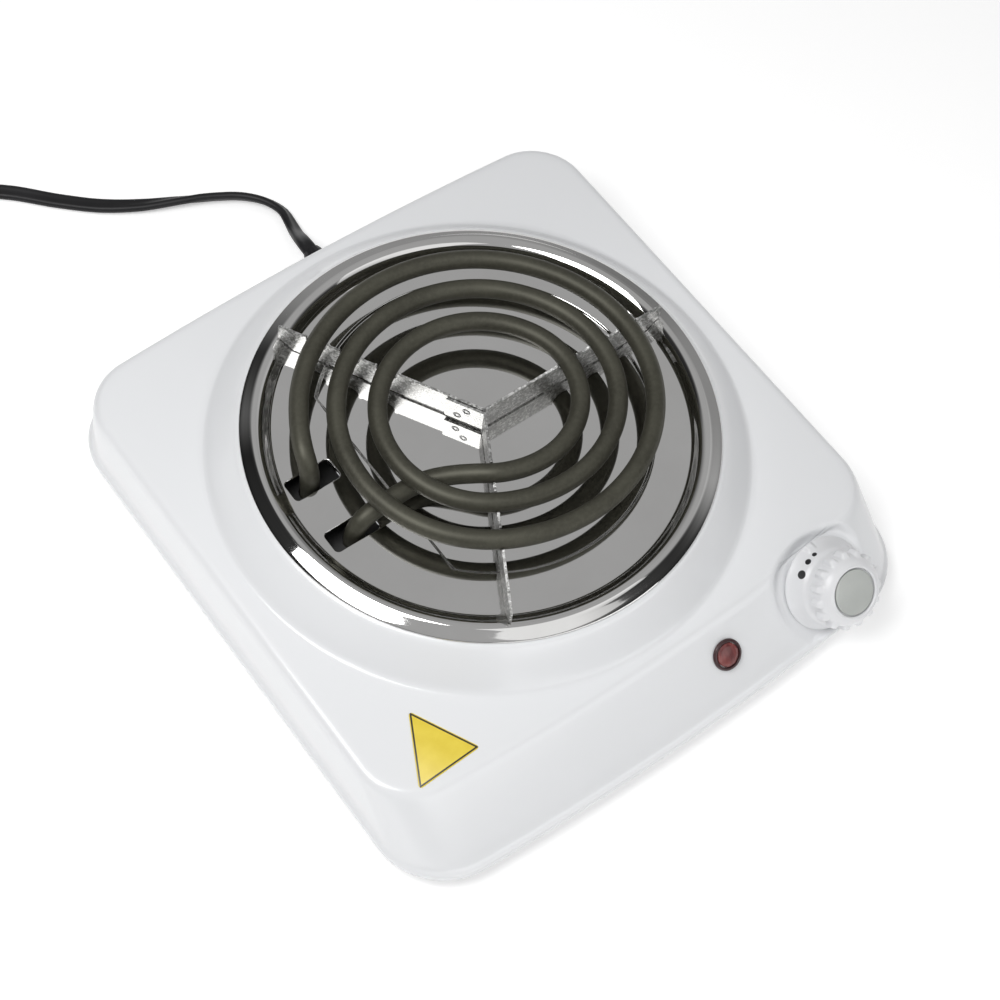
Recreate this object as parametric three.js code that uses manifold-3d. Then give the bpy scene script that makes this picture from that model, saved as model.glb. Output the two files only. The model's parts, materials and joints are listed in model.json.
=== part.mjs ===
// Single-coil electric hot plate burner, in millimetres, +Z up, control panel towards -Y.
// The origin is under the middle of the burner's box, on the surface that its feet stand on.
import * as THREE from 'three';
import { mergeVertices } from 'three/addons/utils/BufferGeometryUtils.js';
import Module from 'manifold-3d';

const wasm = await Module();
wasm.setup();

// ---------------------------------------------------------------- driving dimensions
const GAP = 0.3;                 // left between pieces that touch
const PAN_OFFSET_Y = 8.12;       // drip pan centre, behind the middle of the burner's box

const SHEET = 1.0;               // enamelled steel of the top shell
const PLATEAU_Z = 34;
const LIP_HALF_WIDTH = 115.2;
const LIP_FRONT = -130.5;
const LIP_BACK = 112.6;
const LIP_BOTTOM_Z = 7.6;
const FRONT_BOW = 5.5;
const BACK_BOW = 4;
const COLLAR_HOLE_RADIUS = 83.2;
const COLLAR_TOP_Z = 48;

const BASE_Z = 8.8;
const BASE_THICKNESS = 1.2;
const BASE_TOP_Z = BASE_Z + BASE_THICKNESS;

const FLOOR_Z = 46.9;            // top face of the drip pan's floor
const PAN_SHEET = 0.8;
const EMBOSS_DEPTH = 0.4;
const EMBOSS_RADIUS = 63.3;
const EMBOSS_CENTRE = [2.5, 1.5];
const EMBOSS_CHORD_X = -43.8;
const SLOT_LENGTH = 19.2;
const SLOT_WIDTH = 9.2;
const SLOT_X = -63.8;
const SLOT_Y = [16.2, -8.9];

const TUBE_RADIUS = 3.6;
const COIL_Z = 58.7;
const COIL_RADII = [66.9, 53.4, 38.6, 26.6];
const RAMP_START = 20;           // degrees where each turn starts to move inwards
const RAMP_END = -120;           // and where it has reached the next radius
const TURN_START = 152;
const LEG_BOTTOM_Z = 27;

const ARM_THICKNESS = 1.0;
const ARM_TOP_Z = 59;
const ARM_TIP_RADIUS = 82.6;
const NOTCH_RADIUS = TUBE_RADIUS + 0.5;

const KNOB = new THREE.Vector3(75.3, -114.1, 22.4);   // centre of the knob's skirt
const PANEL_TILT = Math.PI / 4;
const KNOB_OFFSET = 96.52;       // the skirt's plane along the panel's normal
const KNOB_RADIUS = 17.6;
const KNOB_LENGTH = 18.5;
const RIB_COUNT = 15;
const RIB_START = 4;             // degrees from the knob's +X to its first rib
const SHAFT_RADIUS = 3.0;
const SHAFT_PLAY = 0.4;

const RECESS_CENTRE = new THREE.Vector3(75.3, -113.7, 0);
const RECESS_RADIUS = 20;        // across the panel; shortened in plan by the panel's slope
const RECESS_TOP_RADIUS = 22.6;
const RECESS_DEPTH = 3.0;        // under the plateau
const RECESS_OFFSET = 95.2;      // the recess floor's plane along the panel's normal
const RECESS_FOOT = 18.2;        // how far it runs down the panel below the knob's centre

const LAMP = new THREE.Vector3(26, -115.9, 23.2);
const LAMP_RADIUS = 6.0;

const FOOT_X = 92;
const FOOT_Y = [-100, 88];
const FOOT_RADIUS = 9;

const CORD_WIDTH = 6.4;
const CORD_HEIGHT = 3.4;
const CORD_EXIT = new THREE.Vector3(5, 118.6, 16.4);
const HOLE_RADIUS = 4.9;
const COIL_CENTRE = new THREE.Vector3(-163, 262, 0);
const CORD_COIL_RADIUS = 35;     // middle of the turns
const CORD_COIL_HEIGHT = 8.2;
const CORD_COIL_CORNER = 1.6;
const PLUG_PLACE = new THREE.Vector3(-227, 199, 6.9);
const PLUG_DIRECTION = new THREE.Vector3(-5, -3.6, 0).normalize();
const BLADE_SPREAD = 6.35;       // from the plug's middle to each blade
const BLADE_THICKNESS = 1.5;
const NEUTRAL_HALF_WIDTH = 4.0;
const LIVE_HALF_WIDTH = 3.2;

const CUT_BELOW = -20;           // ends of cutting tools, well clear of the material they pass through
const CUT_ABOVE = 60;
const WELD = 1e-4;               // vertices closer than this are one

const radians = (degrees) => (degrees * Math.PI) / 180;
const vector = (point) => new THREE.Vector3(...point);

// ---------------------------------------------------------------- materials
function paint(color, roughness, metalness) {
  return new THREE.MeshStandardMaterial({ color, roughness, metalness });
}

const MATERIALS = {
  enamel: paint('#eef0f2', 0.3, 0.0),
  chrome: paint('#c9cacc', 0.12, 1.0),
  sheath: paint('#3f3d33', 0.55, 0.6),
  zinc: paint('#b9bcbc', 0.38, 0.9),
  steel: paint('#8e9092', 0.45, 0.9),
  brass: paint('#b99a52', 0.35, 0.9),
  white_plastic: paint('#f0f1f3', 0.35, 0.0),
  grey_plastic: paint('#aeb3ae', 0.4, 0.0),
  lamp_red: paint('#7a2a2a', 0.25, 0.0),
  dark_plastic: paint('#3a1c1c', 0.4, 0.0),
  ceramic: paint('#e4ddcc', 0.7, 0.0),
  rubber: paint('#2a2a2c', 0.8, 0.0),
  cord_black: paint('#232124', 0.5, 0.0),
  wire_white: paint('#d9d4c6', 0.7, 0.0),
  label_yellow: paint('#f2d53a', 0.5, 0.0),
};

// ---------------------------------------------------------------- solids and booleans
function solid(geometry, matrix = new THREE.Matrix4()) {
  const plain = geometry.clone();
  plain.deleteAttribute('normal');
  plain.deleteAttribute('uv');
  plain.applyMatrix4(matrix);
  const merged = mergeVertices(plain, WELD);
  const vertProperties = new Float32Array(merged.attributes.position.array);
  const triVerts = new Uint32Array(merged.index.array);
  return new wasm.Manifold(new wasm.Mesh({ numProp: 3, vertProperties, triVerts }));
}

function geometryOf(manifold) {
  const mesh = manifold.getMesh();
  const geometry = new THREE.BufferGeometry();
  geometry.setAttribute('position', new THREE.Float32BufferAttribute(mesh.vertProperties, 3));
  geometry.setIndex(new THREE.Uint32BufferAttribute(mesh.triVerts, 1));
  geometry.computeVertexNormals();
  return geometry;
}

const at = (x, y, z) => new THREE.Matrix4().makeTranslation(x, y, z);
const turnX = (angle) => new THREE.Matrix4().makeRotationX(angle);
const turnY = (angle) => new THREE.Matrix4().makeRotationY(angle);
const turnZ = (angle) => new THREE.Matrix4().makeRotationZ(angle);
const chain = (...steps) => steps.reduce((all, step) => all.multiply(step), new THREE.Matrix4());

// A lathe about Z from [radius, z] pairs. A profile that doesn't start on the axis closes on itself.
function lathe(profile, segments) {
  const points = profile.map(([r, z]) => new THREE.Vector2(r, z));
  if (profile[0][0] > 0) points.push(points[0].clone());
  return new THREE.LatheGeometry(points, segments).rotateX(Math.PI / 2);
}

// The lathe's faces point out when the profile runs upwards on its outer side.
function turned(profile, segments = 32) {
  const body = solid(lathe(profile, segments));
  return body.volume() < 0 ? solid(lathe([...profile].reverse(), segments)) : body;
}

function cylinder(radius, z0, z1, segments = 24) {
  return turned([[0, z0], [radius, z0], [radius, z1], [0, z1]], segments);
}

const box = (x0, x1, y0, y1, z0, z1) => solid(
  new THREE.BoxGeometry(x1 - x0, y1 - y0, z1 - z0),
  at((x0 + x1) / 2, (y0 + y1) / 2, (z0 + z1) / 2),
);
const moved = (manifold, matrix) => solid(geometryOf(manifold), matrix);

function plate(outline, z0, z1, holes = []) {
  const shape = new THREE.Shape(outline.map(([x, y]) => new THREE.Vector2(x, y)));
  shape.holes = holes.map((hole) => new THREE.Path(hole.map(([x, y]) => new THREE.Vector2(x, y))));
  return solid(new THREE.ExtrudeGeometry(shape, { depth: z1 - z0, bevelEnabled: false }), at(0, 0, z0));
}

function circle(x, y, radius, segments = 20) {
  return Array.from({ length: segments }, (_, i) => {
    const a = (i / segments) * 2 * Math.PI;
    return [x + radius * Math.cos(a), y + radius * Math.sin(a)];
  });
}

function roundedBox(x, y, width, depth, radius, steps = 3) {
  const corners = [[1, 1, 0], [-1, 1, 1], [-1, -1, 2], [1, -1, 3]];
  return corners.flatMap(([sx, sy, quarter]) => Array.from({ length: steps + 1 }, (_, i) => {
    const a = ((quarter + i / steps) * Math.PI) / 2;
    const centreX = x + sx * (width / 2 - radius);
    const centreY = y + sy * (depth / 2 - radius);
    return [centreX + radius * Math.cos(a), centreY + radius * Math.sin(a)];
  }));
}

// A section swept along a smooth curve through the given points: one closed body with flat ends. Its
// surface faces outwards whichever way round the section was drawn.
function swept(points, section, steps) {
  const path = new THREE.CatmullRomCurve3(points.map(vector), false, 'centripetal');
  const shape = new THREE.Shape(section.map(([x, y]) => new THREE.Vector2(x, y)));
  const tube = new THREE.ExtrudeGeometry(shape, { steps, bevelEnabled: false, extrudePath: path });
  const body = solid(tube);
  return body.volume() > 0 ? body : solid(turnedInsideOut(tube));
}

function turnedInsideOut(geometry) {
  const bare = new THREE.BufferGeometry();
  bare.setAttribute('position', geometry.attributes.position);
  const flipped = mergeVertices(bare, WELD);
  const faces = Array.from(flipped.index.array);
  for (let i = 0; i < faces.length; i += 3) {
    [faces[i], faces[i + 1]] = [faces[i + 1], faces[i]];
  }
  return flipped.setIndex(faces);
}

const group = new THREE.Group();
const burner = new THREE.Group();
burner.position.y = PAN_OFFSET_Y;
group.add(burner);

function add(name, piece, material, parent = burner) {
  const geometry = piece.isBufferGeometry ? piece : geometryOf(piece);
  const mesh = new THREE.Mesh(geometry, MATERIALS[material].clone());
  mesh.name = name;
  parent.add(mesh);
  return mesh;
}

// ---------------------------------------------------------------- top shell
const SIDE_STEPS = 5;
const CORNER_STEPS = 6;

// One ring of the body in plan: a rounded rectangle whose front and back edges bow outwards.
function bodyRing({ z, half, front, back, radius }) {
  const ys = back - BACK_BOW;
  const yf = front + FRONT_BOW;
  const corners = [[1, 1, ys, 0], [-1, 1, ys, 1], [-1, -1, yf, 2], [1, -1, yf, 3]];
  const steps = Array.from({ length: CORNER_STEPS + 1 }, (_, i) => i / CORNER_STEPS);
  const arcs = corners.flatMap(([sx, sy, edge, quarter]) => steps.map((step) => {
    const a = ((quarter + step) * Math.PI) / 2;
    const x = sx * (half - radius) + radius * Math.cos(a);
    const y = edge - sy * radius + radius * Math.sin(a);
    return new THREE.Vector3(x, y, z);
  }));
  const full = arcs.flatMap((point, i) => {
    const next = arcs[(i + 1) % arcs.length];
    if ((i + 1) % (CORNER_STEPS + 1)) {
      return [point];
    }
    return Array.from({ length: SIDE_STEPS }, (_, k) => point.clone().lerp(next, k / SIDE_STEPS));
  });
  for (const point of full) {
    const bow = point.y > 0 ? BACK_BOW / ys : FRONT_BOW / -yf;
    point.y += point.y * bow * (1 - (point.x / half) ** 2);
  }
  return full;
}

const ring = (z, half, front, back, radius) => bodyRing({ z, half, front, back, radius });
const LIP_RING = ring(LIP_BOTTOM_Z, LIP_HALF_WIDTH, LIP_FRONT, LIP_BACK, 25);
const PLAN_ANGLES = LIP_RING.map((point) => Math.atan2(point.y, point.x));
const circleRing = (radius, z) => PLAN_ANGLES.map(
  (a) => new THREE.Vector3(radius * Math.cos(a), radius * Math.sin(a), z),
);

// Down the outside of the sheet: the collar's circles, then the body's height, half width, front edge, back
// edge and corner radius.
const OUTER_RINGS = [
  circleRing(COLLAR_HOLE_RADIUS, COLLAR_TOP_Z),
  circleRing(88.0, COLLAR_TOP_Z),
  circleRing(89.9, 47.2),
  circleRing(91.4, 45.6),
  circleRing(100.8, 34.9),
  circleRing(102.4, PLATEAU_Z),
  ring(PLATEAU_Z, 107.8, -103.3, 104.6, 17),
  ring(33.6, 109.6, -105.0, 106.3, 19),
  ring(32.2, 111.1, -107.1, 107.8, 20.5),
  ring(30.0, 111.7, -109.4, 108.4, 21),
  ring(14.5, 113.1, -124.9, 110.0, 23),
  ring(12.0, 113.4, -127.0, 110.5, 23.3),
  ring(10.4, 113.8, -128.6, 111.2, 23.6),
  ring(9.6, 114.8, -130.0, 112.2, 24.6),
  ring(8.8, LIP_HALF_WIDTH, LIP_FRONT, LIP_BACK, 25),
  LIP_RING,
];
// And back up its inside.
const INNER_RINGS = [
  ring(LIP_BOTTOM_Z, 114.0, -129.2, 111.4, 23.8),
  ring(9.0, 113.7, -128.8, 111.1, 23.5),
  ring(10.4, 112.6, -127.1, 110.0, 22.6),
  ring(14.5, 112.1, -123.5, 109.0, 22),
  ring(29.6, 110.7, -108.4, 107.4, 20),
  ring(31.7, 110.1, -106.0, 106.8, 19.5),
  ring(32.7, 108.8, -104.2, 105.5, 18),
  ring(33.0, 107.4, -102.9, 104.2, 16.6),
  circleRing(101.4, 33.0),
  circleRing(99.8, 34.1),
  circleRing(90.4, 44.9),
  circleRing(89.2, 46.3),
  circleRing(87.6, COLLAR_TOP_Z - SHEET),
  circleRing(COLLAR_HOLE_RADIUS, COLLAR_TOP_Z - SHEET),
];

// Joins rings of equal length into one closed surface: a loop of rings, or a stack with two flat caps.
function loft(rings, closedLoop) {
  const count = rings[0].length;
  const positions = rings.flatMap((points) => points.flatMap((point) => point.toArray()));
  const index = [];
  const last = closedLoop ? rings.length : rings.length - 1;
  for (let r = 0; r < last; r += 1) {
    for (let i = 0; i < count; i += 1) {
      const j = (i + 1) % count;
      const a = r * count + i;
      const b = r * count + j;
      const c = ((r + 1) % rings.length) * count + i;
      const d = ((r + 1) % rings.length) * count + j;
      index.push(a, c, b, b, c, d);
    }
  }
  const caps = closedLoop ? [] : [[0, false], [rings.length - 1, true]];
  for (const [r, down] of caps) {
    const centre = positions.length / 3;
    positions.push(0, 0, rings[r][0].z);
    for (let i = 0; i < count; i += 1) {
      const a = r * count + i;
      const b = r * count + ((i + 1) % count);
      index.push(...(down ? [centre, b, a] : [centre, a, b]));
    }
  }
  const geometry = new THREE.BufferGeometry();
  geometry.setAttribute('position', new THREE.Float32BufferAttribute(positions, 3));
  geometry.setIndex(index);
  return geometry;
}

// The pressed recess around the knob, or the outside of its sheet when grown by the sheet's thickness: what
// lies above its floor, inside a steep cone squeezed along Y by the panel's slope.
function recessCutter(grow) {
  const floorZ = PLATEAU_Z - RECESS_DEPTH - grow;
  const offset = RECESS_OFFSET - grow;
  const down = RECESS_FOOT + grow;
  const footY = KNOB.y - (down + offset - KNOB_OFFSET) * Math.SQRT1_2;
  const footZ = KNOB.z - (down - offset + KNOB_OFFSET) * Math.SQRT1_2;
  const outline = [
    [-80, floorZ],
    [-80, CUT_ABOVE],
    [footY - 8, CUT_ABOVE],
    [footY - 8, footZ + 7],
    [footY, footZ],
    [floorZ - offset / Math.cos(PANEL_TILT), floorZ],
  ];
  const sweepX = chain(at(RECESS_CENTRE.x - 40, 0, 0), turnZ(Math.PI / 2), turnX(Math.PI / 2));
  const wedge = moved(plate(outline, 0, 80), sweepX);
  const radius = RECESS_RADIUS + grow;
  const topRadius = RECESS_TOP_RADIUS + grow;
  const cone = turned([[0, 0], [radius, 0], [radius, PLATEAU_Z - 6], [topRadius, PLATEAU_Z + 1],
    [topRadius, CUT_ABOVE], [0, CUT_ABOVE]], 28);
  const squeeze = new THREE.Matrix4().makeScale(1, Math.cos(PANEL_TILT), 1);
  return wedge.intersect(moved(cone, chain(at(...RECESS_CENTRE), squeeze)));
}

const panelFrame = (origin) => chain(at(origin.x, origin.y, origin.z), turnX(PANEL_TILT));

const alongY = (x, y, z) => chain(at(x, y, z), turnX(-Math.PI / 2));

function topShell() {
  const skin = solid(loft([...OUTER_RINGS, ...INNER_RINGS], true));
  const filled = solid(loft(OUTER_RINGS, false));
  const cutter = recessCutter(0);
  const patch = recessCutter(SHEET).subtract(cutter).intersect(filled);
  const shaftHole = moved(cylinder(SHAFT_RADIUS + 1.2, -12, 4), panelFrame(KNOB));
  const lampHole = moved(cylinder(LAMP_RADIUS - 1.1, -6, 6), panelFrame(LAMP));
  const cordHole = moved(cylinder(HOLE_RADIUS, 0, 20), alongY(CORD_EXIT.x, 100, CORD_EXIT.z));
  return skin.subtract(cutter).add(patch).subtract(shaftHole).subtract(lampHole).subtract(cordHole);
}

// ---------------------------------------------------------------- base, brackets, feet
const VENT_ROWS = 6;
const VENT_PITCH = 12;

function basePlate() {
  const outline = ring(0, 111.6, -124.2, 109.4, 21.8).map((point) => [point.x, point.y]);
  const vents = [-30, 30].flatMap((x) => Array.from({ length: VENT_ROWS }, (_, row) => (
    roundedBox(x, -30 + row * VENT_PITCH, 34, 4, 1.4, 1).reverse()
  )));
  const footHoles = [-FOOT_X, FOOT_X].flatMap((x) => FOOT_Y.map((y) => circle(x, y, 2.2, 12)));
  const screwHoles = BRACKET_SCREW_Y.map((y) => circle(BRACKET_SCREW_X, y, 1.9, 12));
  return plate(outline, BASE_Z, BASE_TOP_Z, [...footHoles, ...vents, ...screwHoles]);
}

function foot() {
  return turned([[2.3, 8.5], [2.3, 4.9], [4.4, 4.9], [4.4, 0.6], [5.0, 0], [7.6, 0], [8.3, 0.7],
    [FOOT_RADIUS, 7.9], [FOOT_RADIUS - 0.5, 8.5]], 18);
}

const BRACKET_SHEET = 1.2;
const CORNER_WALL = 18.6;        // from a foot's axis to the outer face of its bracket's wall

function footScrew() {
  return turned([[0, 2.6], [2.8, 2.6], [3.9, 3.3], [3.9, 4.6], [1.8, 4.6], [1.8, 15], [0, 15]], 10);
}

// A bracket in a corner of the shell: the foot screw threads into its flat leg, its wall stands along the
// shell's side.
function cornerBracket(sx, footY) {
  const z0 = BASE_TOP_Z + GAP;
  const z1 = z0 + BRACKET_SHEET;
  const inward = -Math.sign(footY) * sx;
  const [y0, y1] = [footY + inward * 7, footY + inward * 20].sort((a, b) => a - b);
  const leg = box(-6, 12, footY - 9, footY + 9, z0, z1).add(box(-6, CORNER_WALL, y0, y1, z0, z1));
  const wall = box(CORNER_WALL - BRACKET_SHEET, CORNER_WALL, y0, y1, z0 + BRACKET_SHEET / 2, z0 + 10);
  const bracket = leg.add(wall).subtract(moved(cylinder(2.1, 0, 30, 12), at(0, footY, 0)));
  const halfTurn = chain(turnZ(Math.PI), at(0, -2 * footY, 0));
  return moved(bracket, sx > 0 ? at(FOOT_X, 0, 0) : chain(at(-FOOT_X, 0, 0), halfTurn));
}

// ---------------------------------------------------------------- drip pan
// Radius and height along the top face, from the middle to the rim, and back along the underside.
const PAN_TOP = [[0, FLOOR_Z], [73.4, FLOOR_Z], [75.6, 47.1], [77.2, 47.6], [78.6, 48.6], [79.8, 49.7],
  [80.8, 50.4], [81.8, 50.8], [83.0, 51.0], [84.4, 50.6], [86.6, 49.5], [88.4, 48.8]];
const PAN_UNDERSIDE = [[88.0, 48.3], [86.3, 48.8], [84.2, 49.8], [82.9, 50.2], [82.0, 50.0], [81.2, 49.7],
  [80.3, 49.1], [79.2, 48.1], [77.6, 46.9], [75.8, 46.3], [73.5, FLOOR_Z - PAN_SHEET],
  [0, FLOOR_Z - PAN_SHEET]];

function dripPan() {
  const disc = plate(circle(...EMBOSS_CENTRE, EMBOSS_RADIUS, 36), FLOOR_Z - EMBOSS_DEPTH, FLOOR_Z + 1);
  const emboss = disc.intersect(box(EMBOSS_CHORD_X, 80, -80, 80, FLOOR_Z - 2, FLOOR_Z + 2));
  let pan = turned([...PAN_TOP, ...PAN_UNDERSIDE], 44).subtract(emboss);
  for (const y of SLOT_Y) {
    const slot = roundedBox(SLOT_X, y, SLOT_LENGTH, SLOT_WIDTH, 1.6);
    pan = pan.subtract(plate(slot, FLOOR_Z - 3, FLOOR_Z + 3));
  }
  return pan;
}

// ---------------------------------------------------------------- heating element
// Radius of the coil's centre line on turn 0, 1 or 2, at an angle that runs from 180 down to -180 degrees.
function coilRadius(turn, degrees) {
  const travel = THREE.MathUtils.clamp((RAMP_START - degrees) / (RAMP_START - RAMP_END), 0, 1);
  const eased = (1 - Math.cos(Math.PI * travel)) / 2;
  return COIL_RADII[turn] + (COIL_RADII[turn + 1] - COIL_RADII[turn]) * eased;
}

const LEGS = [[-64.6, 16.7], [-62.8, -8.4]];
const FIRST_LEG = [[...LEGS[0], LEG_BOTTOM_Z], [...LEGS[0], 36], [...LEGS[0], 46], [-64.6, 16.9, 51.6],
  [-64.2, 18.9, 55.6], [-63.1, 22.8, 57.9]];
const LAST_LEG = [[-17.8, -19.2, 57.4], [-24.6, -13.8, 55.0], [-31.5, -9.6, 52.5], [-38.5, -8.0, 51.5],
  [-46.5, -7.9, 51.3], [-54.0, -8.2, 51.0], [-58.9, -8.4, 49.4], [-61.9, -8.4, 45.6], [...LEGS[1], 40.5],
  [...LEGS[1], LEG_BOTTOM_Z]];
const COIL_STEP = 13;            // degrees between the points that the coil's curve runs through
const TURN_END = -121;           // where the last turn leaves for its leg

function heatingElement() {
  const spiral = [];
  for (let turn = 0; turn < 3; turn += 1) {
    const first = turn === 0 ? TURN_START : 180;
    const last = turn === 2 ? TURN_END : COIL_STEP / 2 - 180;
    for (let a = first; a >= last; a -= COIL_STEP) {
      const r = coilRadius(turn, a);
      spiral.push([r * Math.cos(radians(a)), r * Math.sin(radians(a)), COIL_Z]);
    }
  }
  return swept([...FIRST_LEG, ...spiral, ...LAST_LEG], circle(0, 0, TUBE_RADIUS, 8), 134);
}

// ---------------------------------------------------------------- spider
const ARM_FOOT_Z = 47.3;
const ARM_END = [[73.6, ARM_FOOT_Z], [75.4, 47.6], [77.0, 48.15], [78.4, 49.1], [79.6, 50.2], [80.6, 50.9],
  [81.6, 51.3], [ARM_TIP_RADIUS, 51.5], [ARM_TIP_RADIUS, ARM_TOP_Z - 0.8], [ARM_TIP_RADIUS - 1, ARM_TOP_Z]];
const EAR = [[1.4, 0], [0.7, 0.7], [0, 0.3]];    // beyond the notch, above the arm
const NOTCH_STEPS = 6;
const TAB_LENGTH = 14.5;
const TAB_Z = [48.2, 58.4];

// The side view of one arm in its own plane: radius along X, height along Y.
function armProfile(notchRadii, inner) {
  const shape = [[inner, ARM_FOOT_Z], ...ARM_END];
  for (const r of [...notchRadii].sort((a, b) => b - a)) {
    const outerEar = EAR.map(([out, up]) => [r + NOTCH_RADIUS + out, ARM_TOP_Z + up]);
    const notch = Array.from({ length: NOTCH_STEPS + 1 }, (_, i) => {
      const a = (-i / NOTCH_STEPS) * Math.PI;
      return [r + NOTCH_RADIUS * Math.cos(a), COIL_Z + NOTCH_RADIUS * Math.sin(a)];
    });
    const innerEar = EAR.map(([out, up]) => [r - NOTCH_RADIUS - out, ARM_TOP_Z + up]).reverse();
    shape.push(...outerEar, ...notch, ...innerEar);
  }
  shape.push([inner, ARM_TOP_Z]);
  return shape;
}

function arm(angle, inner) {
  const notchRadii = [0, 1, 2].map((turn) => coilRadius(turn, angle));
  const stand = chain(turnZ(radians(angle)), at(0, ARM_THICKNESS / 2, 0), turnX(Math.PI / 2));
  return moved(plate(armProfile(notchRadii, inner), 0, ARM_THICKNESS), stand);
}

function spiderVStrip() {
  const bend = cylinder(0.6, ARM_FOOT_Z, ARM_TOP_Z, 10);
  return arm(0, 0).add(arm(120, 0)).add(bend);
}

// The third arm starts beside the bend, where its tab runs off along the left arm to be spot-welded flat on
// it.
function spiderThirdArm() {
  const side = ARM_THICKNESS + GAP;
  const start = side / Math.sin(radians(60));
  const back = -start * Math.cos(radians(60));
  const flat = box(back, TAB_LENGTH, -ARM_THICKNESS / 2, ARM_THICKNESS / 2, ...TAB_Z);
  const tab = moved(flat, chain(turnZ(radians(120)), at(0, side, 0)));
  const knuckle = moved(cylinder(0.57, ...TAB_Z, 10), chain(turnZ(radians(-120)), at(start, 0, 0)));
  return arm(-120, start).add(knuckle).add(tab);
}

// ---------------------------------------------------------------- element terminals
const BRACKET_X = -76;
const BRACKET_Y = [-19, 27.5];
const BRACKET_TOP_Z = 38.2;
const BRACKET_SCREW_X = -82;
const BRACKET_SCREW_Y = [-10, 18];

function elementBracket() {
  const foot0 = BASE_TOP_Z + GAP;
  const wallX = BRACKET_X + BRACKET_SHEET;
  const shelf = box(BRACKET_X, -52, ...BRACKET_Y, BRACKET_TOP_Z - BRACKET_SHEET, BRACKET_TOP_Z);
  const wall = box(BRACKET_X, wallX, ...BRACKET_Y, foot0, BRACKET_TOP_Z);
  const footPlate = box(BRACKET_X - 12, wallX, ...BRACKET_Y, foot0, foot0 + BRACKET_SHEET);
  let bracket = shelf.add(wall).add(footPlate);
  for (const [x, y] of LEGS) {
    bracket = bracket.subtract(moved(cylinder(TUBE_RADIUS + GAP + 0.2, 30, 45, 16), at(x, y, 0)));
  }
  for (const y of BRACKET_SCREW_Y) {
    bracket = bracket.subtract(moved(cylinder(1.8, 0, 20, 12), at(BRACKET_SCREW_X, y, 0)));
  }
  return bracket;
}

const SEAL_BOTTOM_Z = 22.6;
const PIN_TOP_Z = SEAL_BOTTOM_Z - GAP;

function bracketScrew() {
  return turned([[0, 6.4], [2.4, 6.4], [3.2, 7.0], [3.2, 8.5], [1.5, 8.5], [1.5, 13.6], [0, 14.2]], 12);
}

const pinSeal = () => cylinder(3.1, SEAL_BOTTOM_Z, LEG_BOTTOM_Z - GAP, 16);
const elementPin = () => turned([[0, 12.5], [0.9, 12.5], [1.2, 13.0], [1.2, PIN_TOP_Z], [0, PIN_TOP_Z]], 10);

// ---------------------------------------------------------------- thermostat and knob, along the knob's axis
const KNOB_BOTTOM_Z = -0.8;
const KNOB_BORE_DEPTH = 12.6;
const CAP_SEAT_RADIUS = 9.5;
const CAP_SEAT_Z = 17.0;
const KNOB_SIDE = [[17.2, KNOB_BOTTOM_Z], [KNOB_RADIUS, -0.3], [KNOB_RADIUS, 0.2], [16.7, 1.2], [15.7, 3.4],
  [15.0, 5.6], [14.5, 6.8], [13.5, 7.4], [13.4, 14.0], [12.7, 15.8], [11.5, 17.4], [10.5, 18.3],
  [9.9, KNOB_LENGTH], [CAP_SEAT_RADIUS, 18.3]];
const RIB_PROFILE = [[0, 7.8], [1.7, 10.0], [1.7, 14.6], [0, 16.2]];
const RIB_RADIUS = 13.4;

function controlKnob() {
  const bore = SHAFT_RADIUS + GAP;
  let knob = turned([[0, KNOB_BORE_DEPTH], [bore, KNOB_BORE_DEPTH], [bore, KNOB_BOTTOM_Z], ...KNOB_SIDE,
    [CAP_SEAT_RADIUS, CAP_SEAT_Z], [0, CAP_SEAT_Z]], 30);
  for (let i = 0; i < RIB_COUNT; i += 1) {
    const a = radians(RIB_START + (i * 360) / RIB_COUNT);
    knob = knob.add(moved(turned(RIB_PROFILE, 5), at(RIB_RADIUS * Math.cos(a), RIB_RADIUS * Math.sin(a), 0)));
  }
  return knob;
}

function knobCap() {
  return turned([[0, CAP_SEAT_Z + GAP], [9.1, CAP_SEAT_Z + GAP], [9.2, 17.9], [8.2, 18.3], [0, 18.6]], 24);
}

// A round shaft with a flat along the stretch that the knob holds.
function thermostatShaft() {
  const rod = cylinder(SHAFT_RADIUS, -12.5, 12.2, 16);
  return rod.subtract(box(SHAFT_RADIUS - 0.9, 6, -5, 5, 0, 13));
}

const shaftPassage = () => cylinder(SHAFT_RADIUS + SHAFT_PLAY, CUT_BELOW, 0, 16);
const thermostatBody = () => box(-9.5, 9.5, -5.4, 13.4, -11.5, -4.1).subtract(shaftPassage());
const THERMOSTAT_BOLT_X = 13.5;
const THERMOSTAT_BOLT_Y = 4.6;

function thermostatBracket() {
  let bracket = box(-16, 16, -5.4, 11.8, -3.8, -2.6).subtract(shaftPassage());
  for (const x of [-THERMOSTAT_BOLT_X, THERMOSTAT_BOLT_X]) {
    bracket = bracket.subtract(moved(cylinder(1.7, -10, 0, 12), at(x, THERMOSTAT_BOLT_Y, 0)));
  }
  return bracket;
}

function thermostatBolt() {
  return turned([[0, -6.4], [2.0, -6.4], [2.8, -5.8], [2.8, -4.1], [1.4, -4.1], [1.4, -2.6], [0, -2.6]], 10);
}

const bimetalLeaf = () => box(-4, 4, 4.2, 15.2, -14.0, -13.4).add(box(-4, 4, 10.4, 12.2, -13.6, -11.8));
const contactTab = (x) => box(x - 2.4, x + 2.4, 13.7, 19.0, -11.2, -10.4);

// ---------------------------------------------------------------- pilot lamp
const LENS_RADIUS = 4.4;
const LENS_BOTTOM_Z = -2.6;
const HOUSING_TOP_Z = LENS_BOTTOM_Z - GAP;

function lampBezel() {
  return turned([[4.75, GAP], [LAMP_RADIUS, GAP], [LAMP_RADIUS, 0.9], [5.4, 1.6], [4.75, 1.6]], 24);
}

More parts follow.
